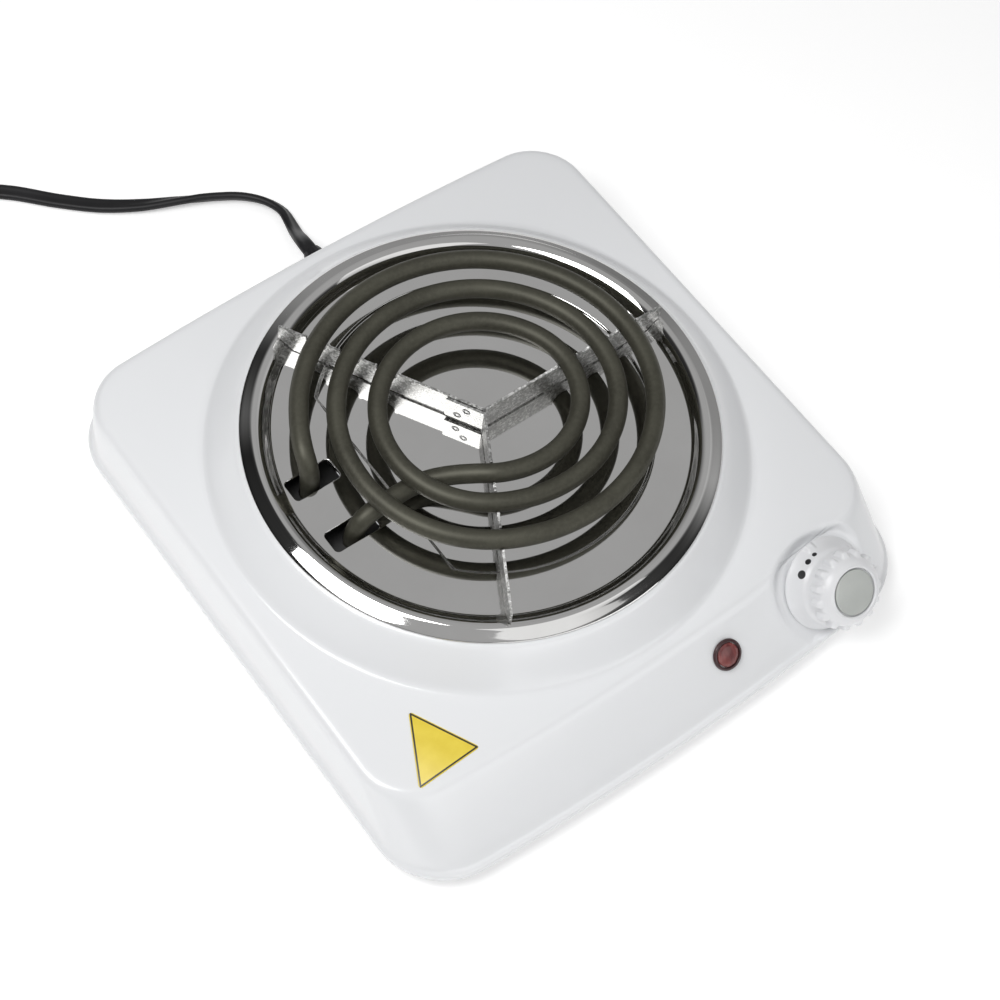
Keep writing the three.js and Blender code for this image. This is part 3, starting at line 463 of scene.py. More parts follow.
# The recess: its middle, how far from it the pressing fades out, the height of its flat part and the distance
# of its sloping part along the panel's normal, how softly the two meet, and where it ends down the panel.
DIMPLE_CENTRE = (75.3, -113.7)
DIMPLE_EDGE = (19.2, 23.8)
DIMPLE_FLOOR = (31.0, 95.2)
DIMPLE_BLEND = 7.0
DIMPLE_FOOT = (-19.2, -16.6)
DIMPLE_MARGIN, DIMPLE_CUTS = 4, 3
WALL_FOOT_Z = 9.6
FACING_UP = 0.3


def body_ring(z, half, front, back, radius):
    """Outline of the body at one level: a rounded rectangle whose front and back edges bow outwards."""
    top, bottom = back - BACK_BOW, front + FRONT_BOW
    corners = []
    for quarter, (sx, edge, sy) in enumerate([(1, top, 1), (-1, top, 1), (-1, bottom, -1), (1, bottom, -1)]):
        for k in range(CORNER_STEPS + 1):
            x, y = on_circle(radius, math.radians(90 * (quarter + k / CORNER_STEPS)))
            corners.append((sx * (half - radius) + x, edge - sy * radius + y))
    outline = []
    for i, (x, y) in enumerate(corners):
        if (i + 1) % (CORNER_STEPS + 1):
            outline.append((x, y))
            continue
        nx, ny = corners[(i + 1) % len(corners)]
        outline += [(x + (nx - x) * k / SIDE_STEPS, y + (ny - y) * k / SIDE_STEPS) for k in range(SIDE_STEPS)]
    bowed = []
    for x, y in outline:
        bow = BACK_BOW / top if y > 0 else FRONT_BOW / -bottom
        bowed.append((x, y * (1 + bow * (1 - (x / half) ** 2)), z))
    return bowed


def between(ring_a, ring_b, steps):
    """Rings evenly spread between two, without the ends."""
    a, b = np.array(ring_a), np.array(ring_b)
    return [(a + (b - a) * k / steps).tolist() for k in range(1, steps)]


def shell_surface(collar, body, steps):
    """Rings from the collar's inner edge out over the plateau and down the walls to the hem."""
    angles = [math.atan2(y, x) for x, y, _ in body_ring(*BODY[-1])]
    circles = [[(*on_circle(r, a), z) for a in angles] for r, z in catmull_rom(collar, COLLAR_SPACING)]
    levels = [body_ring(*row) for row in catmull_rom(body, WALL_SPACING)]
    return circles + between(circles[-1], levels[0], steps) + levels


def smoothstep(low, high, value):
    t = min(max((value - low) / (high - low), 0.0), 1.0)
    return t * t * (3 - 2 * t)


def soft_maximum(a, b, width):
    """The larger of two values, rounded off where they are closer than a width."""
    if abs(a - b) > width:
        return max(a, b)
    return (a + b) / 2 + (a - b) ** 2 / (4 * width) + width / 4


def press_dimple(bm, layer):
    """Presses the recess around the knob into both faces of the sheet."""
    bm.normal_update()
    level = math.cos(PANEL_TILT)
    moves = []
    for vert in bm.verts:
        p = vert.co
        distance = math.hypot(p.x - DIMPLE_CENTRE[0], (p.y - DIMPLE_CENTRE[1]) / level)
        if distance > DIMPLE_EDGE[1]:
            continue
        outer = vert[layer] > 0.5
        up = vert.normal if outer else -vert.normal
        down = 0.0 if outer else SHEET
        slope = ((p.y - KNOB_CENTRE[1]) + (p.z - KNOB_CENTRE[2])) * level
        panel = (p.z - p.y) * level - (DIMPLE_FLOOR[1] - down)
        flat = p.z - (DIMPLE_FLOOR[0] - down)
        depth = soft_maximum(panel, flat, DIMPLE_BLEND)
        weight = (1 - smoothstep(*DIMPLE_EDGE, distance)) * smoothstep(*DIMPLE_FOOT, slope)
        if up.z > FACING_UP and depth > 0:
            moves.append((vert, up * (depth * weight)))
    for vert, move in moves:
        vert.co -= move


def in_place(bm):
    """Moves a mesh from millimetres about the pan's middle into the frame, all of it smooth."""
    for vert in bm.verts:
        vert.co = at(vert.co)
    for face in bm.faces:
        face.smooth = True


def add_shell(material):
    outer = shell_surface(COLLAR, BODY, PLATEAU_STEPS_OUT)
    inner = shell_surface(COLLAR_IN[::-1], BODY_IN[::-1], PLATEAU_STEPS_IN)[::-1]
    points, faces = loft(outer + inner, True)
    bm = bmesh.new()
    layer = bm.verts.layers.float.new("outer")
    count = len(outer) * len(outer[0])
    for i, p in enumerate(points):
        vert = bm.verts.new(p)
        vert[layer] = 1.0 if i < count else 0.0
    bm.verts.ensure_lookup_table()
    for face in faces:
        bm.faces.new([bm.verts[i] for i in face])
    bmesh.ops.recalc_face_normals(bm, faces=bm.faces)
    reach = DIMPLE_EDGE[1] + DIMPLE_MARGIN
    near = set()
    for face in bm.faces:
        c = face.calc_center_median()
        if math.hypot(c.x - DIMPLE_CENTRE[0], c.y - DIMPLE_CENTRE[1]) < reach and c.z > WALL_FOOT_Z:
            near.update(face.edges)
    bmesh.ops.subdivide_edges(bm, edges=list(near), cuts=DIMPLE_CUTS, use_grid_fill=True)
    press_dimple(bm, layer)
    in_place(bm)
    stand_in(bpy.data.meshes.new("top_shell_skin"), bm, material, ("top_shell",))


add_shell(enamel())

# ---------------------------------------------------------------- drip pan
FLOOR_Z = 46.9
PAN_SHEET = 0.8
FLOOR_RADIUS = 76.3
EMBOSS_CENTRE, EMBOSS_RADIUS, EMBOSS_CHORD = (2.5, 1.5), 63.3, -43.8
EMBOSS_DEPTH, EMBOSS_RUN = 0.65, 1.2
SLOT_SIZE, SLOT_PLACES = (19.0, 9.0), ((-63.8, 16.2), (-63.8, -8.9))
SLOT_CORNER, SLOT_ROLL, SLOT_ROLL_STEPS = 1.6, 0.35, 5
EMBOSS_CORNER, EMBOSS_ARC_STEPS, EMBOSS_CORNER_STEPS, EMBOSS_RUN_STEPS = 3.0, 150, 8, 8
# The rolled rim as (radius, height): up the S-shaped wall, over the crest and down to the edge, then back
# under.
RIM_TOP = [(FLOOR_RADIUS, FLOOR_Z), (76.9, 46.98), (77.5, 47.28), (78.2, 47.85), (78.9, 48.55), (79.6, 49.25),
           (80.3, 49.85), (81.0, 50.3), (81.8, 50.68), (82.6, 50.92), (83.4, 50.95), (84.2, 50.7),
           (85.2, 50.2), (86.4, 49.6), (87.6, 49.0), (88.3, 48.6), (88.55, 48.35), (88.4, 48.15),
           (88.1, 48.15)]
RIM_UNDER = [(87.4, 48.4), (86.0, 49.0), (84.6, 49.7), (83.4, 50.15), (82.4, 50.1), (81.4, 49.7),
             (80.6, 49.2), (79.8, 48.5), (79.0, 47.7), (78.2, 47.0), (77.4, 46.4), (FLOOR_RADIUS, 46.1)]
RIM_SPACING, RIM_UNDER_SPACING = 0.35, 0.8
PAN_SEGMENTS = 256
FACING_DOWN, FLOOR_BAND = -0.9, 0.6


def d_outline(inset):
    """The pressed D: a circle cut off by a straight chord, with tight corners."""
    cx, cy = EMBOSS_CENTRE
    r = EMBOSS_RADIUS - inset
    inner_r = r - EMBOSS_CORNER
    half = math.acos((EMBOSS_CHORD + inset + EMBOSS_CORNER - cx) / inner_r)
    points = []
    for k in range(EMBOSS_ARC_STEPS + 1):
        x, y = on_circle(r, -half + 2 * half * k / EMBOSS_ARC_STEPS)
        points.append((cx + x, cy + y))
    for sign in (1, -1):
        x, y = on_circle(inner_r, sign * half)
        begin, end = (half, math.pi) if sign > 0 else (math.pi, 2 * math.pi - half)
        turn = [on_circle(EMBOSS_CORNER, begin + (end - begin) * k / EMBOSS_CORNER_STEPS)
                for k in range(EMBOSS_CORNER_STEPS + 1)]
        arc = [(cx + x + u, cy + y + v) for u, v in turn]
        points += arc[1:] if sign > 0 else arc[:-1]
    return points


def flat_sheet(bm, loops, z):
    """Fills the flat region between outlines at one level."""
    edges = []
    for loop in loops:
        verts = [bm.verts.new((x, y, z)) for x, y in loop]
        edges += [bm.edges.new((a, b)) for a, b in zip(verts, verts[1:] + verts[:1])]
    bmesh.ops.triangle_fill(bm, use_beauty=True, edges=edges)


def strip(bm, loops):
    """Joins outlines of equal length, each given as (points, z)."""
    rows = [[bm.verts.new((x, y, z)) for x, y in points] for points, z in loops]
    for row, below in zip(rows, rows[1:]):
        for i in range(len(row)):
            j = (i + 1) % len(row)
            bm.faces.new((row[i], row[j], below[j], below[i]))


def slot_outlines(grow):
    return [rounded_box(place, SLOT_SIZE, SLOT_CORNER, grow) for place in SLOT_PLACES]


def rim_rings(outline):
    profile = catmull_rom(RIM_TOP, RIM_SPACING) + catmull_rom(RIM_UNDER, RIM_UNDER_SPACING)
    return [([(x * r / FLOOR_RADIUS, y * r / FLOOR_RADIUS) for x, y in outline], z) for r, z in profile]


def add_pan(material):
    bm = bmesh.new()
    outline = [on_circle(FLOOR_RADIUS, a) for a in full_turn(PAN_SEGMENTS)]
    strip(bm, rim_rings(outline))
    flat_sheet(bm, [outline, d_outline(0.0)] + slot_outlines(SLOT_ROLL), FLOOR_Z)
    flat_sheet(bm, [d_outline(EMBOSS_RUN)], FLOOR_Z - EMBOSS_DEPTH)
    run = [k / EMBOSS_RUN_STEPS for k in range(EMBOSS_RUN_STEPS + 1)]
    strip(bm, [(d_outline(EMBOSS_RUN * t), FLOOR_Z - EMBOSS_DEPTH * smoothstep(0, 1, t)) for t in run])
    roll = [math.pi / 2 * k / SLOT_ROLL_STEPS for k in range(SLOT_ROLL_STEPS + 1)]
    rows = [(slot_outlines(SLOT_ROLL * (1 - math.sin(a))), FLOOR_Z - SLOT_ROLL * (1 - math.cos(a)))
            for a in roll]
    rows.append((slot_outlines(0.0), FLOOR_Z - PAN_SHEET))
    for index in range(len(SLOT_PLACES)):
        strip(bm, [(outlines[index], z) for outlines, z in rows])
    flat_sheet(bm, [outline] + slot_outlines(0.0), FLOOR_Z - PAN_SHEET)
    bmesh.ops.recalc_face_normals(bm, faces=bm.faces)
    for face in bm.faces:
        if face.normal.z < FACING_DOWN and abs(face.calc_center_median().z - FLOOR_Z) < FLOOR_BAND:
            face.normal_flip()
    in_place(bm)
    stand_in(bpy.data.meshes.new("drip_pan_skin"), bm, material, ("drip_pan",))


add_pan(chrome())

# ---------------------------------------------------------------- heating element
TUBE_RADIUS, TUBE_SIDES = 3.6, 24
TUBE_SPACING = 1.5
COIL_Z = 58.7
# The turns' radii, and between which angles each turn runs in to the next.
TURN_RADII = (66.9, 53.4, 38.6, 26.6)
RAMP = (20.0, -120.0)
TURN_START, TURN_END, TURN_STEP = 152.0, -121.0, 13
LEG_BOTTOM = 27.0
FIRST_LEG = [(-64.6, 16.7, LEG_BOTTOM), (-64.6, 16.7, 36), (-64.6, 16.7, 46), (-64.6, 16.9, 51.6),
             (-64.2, 18.9, 55.6), (-63.1, 22.8, 57.9)]
LAST_LEG = [(-17.8, -19.2, 57.4), (-24.6, -13.8, 55.0), (-31.5, -9.6, 52.5), (-38.5, -8.0, 51.5),
            (-46.5, -7.9, 51.3), (-54.0, -8.2, 51.0), (-58.9, -8.4, 49.4), (-61.9, -8.4, 45.6),
            (-62.8, -8.4, 40.5), (-62.8, -8.4, LEG_BOTTOM)]


def turn_radius(turn, degrees):
    travel = min(max((RAMP[0] - degrees) / (RAMP[0] - RAMP[1]), 0.0), 1.0)
    eased = (1 - math.cos(math.pi * travel)) / 2
    return TURN_RADII[turn] + (TURN_RADII[turn + 1] - TURN_RADII[turn]) * eased


def element_path():
    """Up through the back slot, three turns inwards, and down through the front slot."""
    points = list(FIRST_LEG)
    for turn in range(3):
        angle = TURN_START if turn == 0 else 180.0
        last = TURN_END if turn == 2 else -180.0 + TURN_STEP / 2
        while angle >= last:
            points.append((*on_circle(turn_radius(turn, angle), math.radians(angle)), COIL_Z))
            angle -= TURN_STEP
    return catmull_rom(points + LAST_LEG, TUBE_SPACING)


def tube_rings(path, radius, sides):
    """Round sections along a path, turned as little as possible from one to the next."""
    points = [Vector(p) for p in path]
    runs = directions(points)
    normal = runs[0].orthogonal().normalized()
    rings = []
    for p, along in zip(points, runs):
        normal = (normal - along * normal.dot(along)).normalized()
        side = along.cross(normal)
        rings.append([p + radius * (math.cos(a) * normal + math.sin(a) * side) for a in full_turn(sides)])
    return rings


element_rings = tube_rings(element_path(), TUBE_RADIUS, TUBE_SIDES)
piece("element_tube", *capped(*loft(element_rings), element_rings), element_sheath(), ("heating_element",),
      slot="sheath", flat_angle=1.0)

# ---------------------------------------------------------------- spider
ARM_THICKNESS = 1.0
ARM_TOP, ARM_BOTTOM = 59.0, 47.3
ARM_TIP = 82.6
# The arm's lower end, following the rim's S-shaped wall, and its top corner, as (radius, height).
ARM_FOOT = [(75.8, ARM_BOTTOM), (77.0, 47.6), (78.2, 48.4), (79.2, 49.4), (80.2, 50.25), (81.2, 50.9),
            (82.1, 51.4), (ARM_TIP, 52.1)]
ARM_HEAD = [(ARM_TIP, ARM_TOP - 0.8), (ARM_TIP - 0.3, ARM_TOP - 0.25), (ARM_TIP - 1, ARM_TOP)]
NOTCH_RADIUS, NOTCH_STEPS = TUBE_RADIUS + 0.5, 14
# The lips beside each notch, as (distance from the notch, height over the arm).
NOTCH_LIP = ((1.5, 0.0), (1.1, 0.35), (0.7, 0.6), (0.2, 0.55), (0.0, 0.3))
V_START = 0.3
V_ANGLES, THIRD_ANGLE = (0, 120), -120
BURR, SHARP_EDGE, WALL_CORNERS = 0.14, 0.9, 8
TAB_SIDE = ARM_THICKNESS + 0.3
TAB_START = TAB_SIDE / math.sin(math.radians(60))
TAB_OUTLINE = [(-TAB_START / 2, 48.2), (14.0, 48.2), (14.5, 48.7), (14.5, 57.9), (14.0, 58.4),
               (-TAB_START / 2, 58.4)]
# The two spot welds that hold the tab: a shallow ring round a dimple, standing on the tab's outer face.
WELD_PLACES = ((6.2, 55.4), (9.6, 51.0))
WELD_PROFILE = ((0.01, -0.02), (0.5, 0.0), (0.85, 0.06), (1.1, 0.14), (1.35, 0.10), (1.6, 0.0), (1.6, -0.06))
WELD_SPACING, WELD_SEGMENTS = 0.12, 32


def arm_outline(degrees, inner):
    """Side view of the arm at an angle, notched for the three turns: radius and height."""
    shape = [(inner, ARM_BOTTOM)] + ARM_FOOT + ARM_HEAD
    for r in sorted((turn_radius(turn, degrees) for turn in range(3)), reverse=True):
        shape += [(r + (NOTCH_RADIUS + d), ARM_TOP + h) for d, h in NOTCH_LIP]
        for k in range(NOTCH_STEPS + 1):
            x, y = on_circle(NOTCH_RADIUS, math.pi * k / NOTCH_STEPS)
            shape.append((r + x, COIL_Z - y))
        shape += [(r - (NOTCH_RADIUS + d), ARM_TOP + h) for d, h in NOTCH_LIP[::-1]]
    shape.append((inner, ARM_TOP))
    return shape


def sheet_metal(outlines, name, material, replaces):
    """Extrudes outlines that each stand at an angle and offset sideways, and rounds their edges a little."""
    bm = bmesh.new()
    for outline, degrees, sideways in outlines:
        x, y = on_circle(1, math.radians(degrees))
        layers = []
        for offset in (sideways - ARM_THICKNESS / 2, sideways + ARM_THICKNESS / 2):
            layers.append([bm.verts.new((x * r - y * offset, y * r + x * offset, z)) for r, z in outline])
        bm.faces.new(layers[0])
        bm.faces.new(layers[1][::-1])
        for i in range(len(outline)):
            j = (i + 1) % len(outline)
            bm.faces.new((layers[0][j], layers[0][i], layers[1][i], layers[1][j]))
    bmesh.ops.recalc_face_normals(bm, faces=bm.faces)
    rims = [e for e in bm.edges if any(len(f.verts) > WALL_CORNERS for f in e.link_faces)]
    bmesh.ops.bevel(bm, geom=rims, offset=BURR, segments=2, affect="EDGES", clamp_overlap=True)
    for face in bm.faces:
        face.smooth = len(face.verts) < WALL_CORNERS
    mark_sharp(bm, SHARP_EDGE)
    for vert in bm.verts:
        vert.co = at(vert.co)
    stand_in(bpy.data.meshes.new(name), bm, material, replaces)


def add_weld_marks(material):
    along = Vector((*on_circle(1, math.radians(V_ANGLES[1])), 0))
    outward = Vector((-along.y, along.x, 0))
    for index, (reach, height) in enumerate(WELD_PLACES):
        face = along * reach + outward * (TAB_SIDE + ARM_THICKNESS / 2) + Vector((0, 0, height))
        points, faces = loft(lathe(catmull_rom(WELD_PROFILE, WELD_SPACING), WELD_SEGMENTS))
        on_tab = [face + along * x + Vector((0, 0, y)) + outward * z for x, y, z in points]
        piece(f"weld_mark_{index + 1}", on_tab, faces, material, slot="zinc", flat_angle=1.2)


zinc = galvanised()
sheet_metal([(arm_outline(a, V_START), a, 0) for a in V_ANGLES], "spider_v_sheet", zinc, ("spider_v_strip",))
sheet_metal([(arm_outline(THIRD_ANGLE, TAB_START), THIRD_ANGLE, 0), (TAB_OUTLINE, V_ANGLES[1], TAB_SIDE)],
            "spider_third_sheet", zinc, ("spider_third_arm",))
add_weld_marks(plain_steel("weld_steel", 0.2))

# ---------------------------------------------------------------- knob
# Turned shapes here are (radius, height) in millimetres over the panel's surface.
KNOB_PROFILE = [(3.4, -0.6), (16.9, -0.6), (17.4, -0.45), (17.6, -0.05), (17.5, 0.35), (17.1, 0.9),
                (16.5, 1.9), (15.8, 3.3), (15.2, 5.0), (14.8, 6.2), (14.3, 6.9), (13.8, 7.4), (13.5, 8.2),
                (13.4, 11.0), (13.3, 14.0), (12.9, 15.4), (12.2, 16.6), (11.3, 17.6), (10.4, 18.25),
                (9.8, 18.5), (9.3, 18.45), (9.1, 18.1), (9.05, 17.2), (8.6, 17.05), (3.0, 17.05),
                (0.01, 17.05)]
CAP_PROFILE = [(0.01, 17.3), (8.1, 17.3), (8.5, 17.5), (8.55, 17.9), (8.4, 18.15), (8.0, 18.28), (6.6, 18.42),
               (3.5, 18.55), (0.01, 18.6)]
KNOB_SPACING, KNOB_SEGMENTS, CAP_SEGMENTS = 0.3, 360, 128
# The ribs: how many, how high, where they rise and fade up the knob, their first angle, their flanks as
# shares of the pitch, and the radius inside which there are none.
RIBS, RIB_HEIGHT = 15, 1.6
RIB_SPAN = (9.6, 11.4, 14.6, 16.4)
RIB_FIRST, RIB_FLANK, RIB_INSIDE = 4, (0.10, 0.36), 11
# The lug on the skirt: its angle and half width, its flank, how it fades upwards and how far it stands out.
LUG_ANGLE, LUG_HALF_WIDTH = 96.0, 9.0
LUG_FLANK, LUG_FADE, LUG_INSIDE = (0.35, 1.0), (1.5, 4.0), 14
LUG_OUT, LUG_UP = 0.5, 1.1
# The three printed marks as (angle, radius of the mark), and the radius and height of the ring they lie on.
DOTS, DOT_RING = ((100, 0.95), (114, 1.2), (134, 1.65)), (15.1, 4.9)
DOT_EDGE = (0.94, 1.04)


def on_panel(points, centre):
    return placed(points, centre, PANEL_TILT)


def add_knob(material):
    low, full, high, gone = RIB_SPAN
    rings = []
    for r, z in catmull_rom(KNOB_PROFILE, KNOB_SPACING):
        along = smoothstep(low, full, z) * (1 - smoothstep(high, gone, z)) if r > RIB_INSIDE else 0.0
        lug = 1 - smoothstep(*LUG_FADE, z) if r > LUG_INSIDE else 0.0
        ring = []
        for a in full_turn(KNOB_SEGMENTS):
            degrees = math.degrees(a)
            phase = ((degrees - RIB_FIRST) * RIBS / 360 + 0.5) % 1 - 0.5
            across = 1 - smoothstep(*RIB_FLANK, abs(phase))
            swell = lug * (1 - smoothstep(*LUG_FLANK, abs(degrees - LUG_ANGLE) / LUG_HALF_WIDTH))
            out = r + RIB_HEIGHT * along * across + LUG_OUT * swell
            ring.append((*on_circle(out, a), z + LUG_UP * swell))
        rings.append(ring)
    points, faces = loft(rings)
    piece("knob_moulding", on_panel(points, KNOB_CENTRE), faces, material, ("control_knob",), body="knob",
          slot="white_plastic", flat_angle=1.2)


def knob_plastic():
    """White moulding with three printed marks that grow round the skirt."""
    n = Nodes("knob_plastic")
    position = n.add("ShaderNodeTexCoord").outputs["Object"]
    dots = None
    for degrees, size in DOTS:
        centre = at(on_panel([(*on_circle(DOT_RING[0], math.radians(degrees)), DOT_RING[1])], KNOB_CENTRE)[0])
        distance = n.add("ShaderNodeVectorMath", operation="DISTANCE")
        n.feed(distance.inputs[0], position)
        n.feed(distance.inputs[1], centre)
        inside, outside = (size * MM * share for share in DOT_EDGE)
        dot = n.range(distance.outputs["Value"], 1.0, 0.0, inside, outside)
        dots = dot if dots is None else n.math("MAXIMUM", dots, dot)
    tone = n.ramp(n.noise(50, 2), (0.3, (0.80, 0.805, 0.82)), (0.7, (0.83, 0.835, 0.85)))
    n.set(Base_Color=n.mix(dots, tone, (0.02, 0.02, 0.022, 1)),
          Roughness=n.range(n.noise(140, 3), 0.26, 0.34), Normal=n.bump(n.noise(700, 2), 0.08, 0.00004),
          Subsurface_Weight=0.08, Subsurface_Radius=(0.002, 0.002, 0.002))
    return n.material


def add_cap(material):
    points, faces = loft(lathe(catmull_rom(CAP_PROFILE, KNOB_SPACING), CAP_SEGMENTS))
    piece("knob_cap_disc", on_panel(points, KNOB_CENTRE), faces, material, ("knob_cap",), body="knob",
          slot="grey_plastic", flat_angle=1.2)


add_knob(knob_plastic())
add_cap(moulded("knob_cap_grey", (0.47, 0.49, 0.47), (0.53, 0.55, 0.525), 0.34, 0.05))

# ---------------------------------------------------------------- pilot lamp
LAMP_CENTRE = (26.0, -115.9, 23.2)
BEZEL_PROFILE = [(4.85, 0.3), (5.7, 0.3), (5.98, 0.45), (6.0, 0.8), (5.85, 1.25), (5.5, 1.5), (5.1, 1.6),
                 (4.88, 1.45), (4.85, 0.3)]
BEZEL_SPACING, BEZEL_SEGMENTS = 0.15, 96
LENS_PROFILE = [(4.65, -2.6), (4.65, 1.1), (4.45, 1.35), (3.5, 1.75), (2.1, 2.0), (0.9, 2.08), (0.01, 2.1)]
LENS_FACETS = 10


def add_lamp(bezel_material, lens_material):
    """The bezel, and a lens whose facets are staggered from row to row."""
    points, faces = loft(lathe(catmull_rom(BEZEL_PROFILE, BEZEL_SPACING), BEZEL_SEGMENTS))
    piece("lamp_bezel_ring", on_panel(points, LAMP_CENTRE), faces, bezel_material, ("lamp_bezel",),
          slot="dark_plastic", flat_angle=1.2)
    rings = []
    for index, (r, z) in enumerate(LENS_PROFILE):
        shift = math.pi / LENS_FACETS * (index % 2)
        rings.append([(*on_circle(r, shift + a), z) for a in full_turn(LENS_FACETS)])
    points, faces = loft(rings)
    faces.append(tuple(range(LENS_FACETS)))
    piece("lamp_lens_facets", on_panel(points, LAMP_CENTRE), faces, lens_material, ("lamp_lens",),
          slot="lamp_red", flat_angle=0.12)


def lens_red():
    """Dark red transparent plastic seen unlit, with faint stripes."""
    n = Nodes("lens_red")
    stripes = n.noise(520, 2, vector=n.place((1.0, 0.35, 0.35)))
    n.set(Base_Color=n.ramp(stripes, (0.35, (0.13, 0.03, 0.03)), (0.65, (0.24, 0.06, 0.055))), Roughness=0.34,
          Coat_Weight=0.15)
    return n.material


add_lamp(moulded("bezel_brown", (0.035, 0.014, 0.015), (0.06, 0.026, 0.028), 0.3, 0.05), lens_red())

# ---------------------------------------------------------------- label and feet
LABEL_CORNERS = [(-84.2, -72.4, 34.3), (-98.0, -98.2, 34.3), (-71.6, -97.4, 34.3)]
LABEL_RADIUS, LABEL_CORNER_STEPS = 0.9, 6
LABEL_LOW, LABEL_EDGE, LABEL_HIGH, LABEL_SHRINK = 34.05, 34.18, 34.22, 0.995
# Where the label's dark frame begins and ends, in metres from the edge.
FRAME_OUTSIDE, FRAME_INSIDE = (0.00028, 0.00036), (0.00092, 0.001)
FOOT_PROFILE = [(2.3, 8.5), (2.3, 5.0), (4.4, 4.9), (4.4, 0.9), (4.7, 0.25), (5.3, 0.0), (7.2, 0.0),
                (7.9, 0.25), (8.3, 0.9), (8.95, 7.6), (8.9, 8.2), (8.5, 8.5), (2.3, 8.5)]
FOOT_SEGMENTS = 64


def label_print():
    """Yellow print with a dark frame, both following the distance to the triangle's edges."""
    n = Nodes("label_print")
    corners = [at(p) for p in LABEL_CORNERS]
    position = n.add("ShaderNodeTexCoord").outputs["Object"]
    nearest = None
    for a, b in zip(corners, corners[1:] + corners[:1]):
        inward = Vector((-(b - a).y, (b - a).x, 0)).normalized()
        dot = n.add("ShaderNodeVectorMath", operation="DOT_PRODUCT")
        n.feed(dot.inputs[0], position)
        n.feed(dot.inputs[1], inward)
        edge = n.math("SUBTRACT", dot.outputs["Value"], a.dot(inward))
        nearest = edge if nearest is None else n.math("MINIMUM", nearest, edge)
    frame_band = n.math("MULTIPLY", n.range(nearest, 0.0, 1.0, *FRAME_OUTSIDE),
                        n.range(nearest, 1.0, 0.0, *FRAME_INSIDE))
    tone = n.ramp(n.noise(200, 3), (0.3, (0.78, 0.60, 0.05)), (0.7, (0.84, 0.66, 0.07)))
    n.set(Base_Color=n.mix(frame_band, tone, (0.03, 0.028, 0.02, 1)),
          Roughness=n.range(n.noise(300, 2), 0.3, 0.4), Normal=n.bump(n.noise(500, 2), 0.05, 0.00002))
    return n.material


def label_outline():
    """The triangle with its corners rounded."""
    outline = []
    for i, row in enumerate(LABEL_CORNERS):
        corner = Vector(row[:2])
        u = Vector(LABEL_CORNERS[i - 1][:2]) - corner
        v = Vector(LABEL_CORNERS[(i + 1) % 3][:2]) - corner
        inwards = (u.normalized() + v.normalized()).normalized()
        middle = corner + inwards * LABEL_RADIUS / math.sin(u.angle(v) / 2)
        from_u, from_v = Vector((u.y, -u.x)).normalized(), Vector((-v.y, v.x)).normalized()
        if from_u.dot(middle - corner) > 0:
            from_u, from_v = -from_u, -from_v
        begin, end = math.atan2(from_u.y, from_u.x), math.atan2(from_v.y, from_v.x)
        while end < begin:
            end += 2 * math.pi
        if end - begin > math.pi:
            begin += 2 * math.pi
        for k in range(LABEL_CORNER_STEPS + 1):
            x, y = on_circle(LABEL_RADIUS, begin + (end - begin) * k / LABEL_CORNER_STEPS)
            outline.append((middle.x + x, middle.y + y))
    return outline


def add_label(material):
    cx, cy = (sum(p[i] for p in LABEL_CORNERS) / 3 for i in range(2))
    outline = label_outline()
    rings = [[(x, y, z) for x, y in outline] for z in (LABEL_LOW, LABEL_EDGE)]
    rings.append([(cx + (x - cx) * LABEL_SHRINK, cy + (y - cy) * LABEL_SHRINK, LABEL_HIGH)
                  for x, y in outline])
    piece("label_film", *capped(*loft(rings), rings), material, ("caution_label",), slot="label_yellow",
          flat_angle=0.5)


def add_feet(material):
    for side in ("left", "right"):
        for end in ("front", "back"):
            low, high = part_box(f"foot_{end}_{side}")
            x, y = (low.x + high.x) / 2 / MM, ((low.y + high.y) / 2 - CENTRE_Y) / MM
            points, faces = loft(lathe(FOOT_PROFILE, FOOT_SEGMENTS))
            under = [(px + x, py + y, pz) for px, py, pz in points]
            piece(f"rubber_foot_{end}_{side}", under, faces, material, (f"foot_{end}_{side}",), slot="rubber",
                  flat_angle=0.7)


add_label(label_print())
rubber = moulded("foot_rubber", (0.022, 0.022, 0.024), (0.035, 0.035, 0.037), 0.62, 0.2)
add_feet(rubber)

# ---------------------------------------------------------------- carried-over CAD nodes
LOOKS = {"steel": plain_steel(), "cord_black": cord_vinyl, "rubber": rubber, "brass": brass(),
         "ceramic": moulded("fired_ceramic", (0.62, 0.57, 0.47), (0.72, 0.68, 0.58), 0.6, 0.3),
         "wire_white": moulded("wire_sleeve", (0.55, 0.52, 0.44), (0.66, 0.63, 0.55), 0.55, 0.3),
         "dark_plastic": moulded("lamp_body_brown", (0.03, 0.013, 0.014), (0.05, 0.022, 0.024), 0.4, 0.1)}
nodes = frame["nodes"]
for row in frame["record"]["subparts"]:
    if row["node"] in nodes and row["material_slot"] in LOOKS:
        materials = nodes[row["node"]].data.materials
        materials.clear()
        materials.append(LOOKS[row["material_slot"]])
# Painted shade: the bracket under the pan's slots gets near-black steel so that it shows the shade inside the
# slots.
nodes["element_bracket"].data.materials[0] = plain_steel("shade_dark_steel", 0.09)

# ---------------------------------------------------------------- floor and light
FLOOR_HALF, FLOOR_DROP = 3.0, 0.0002


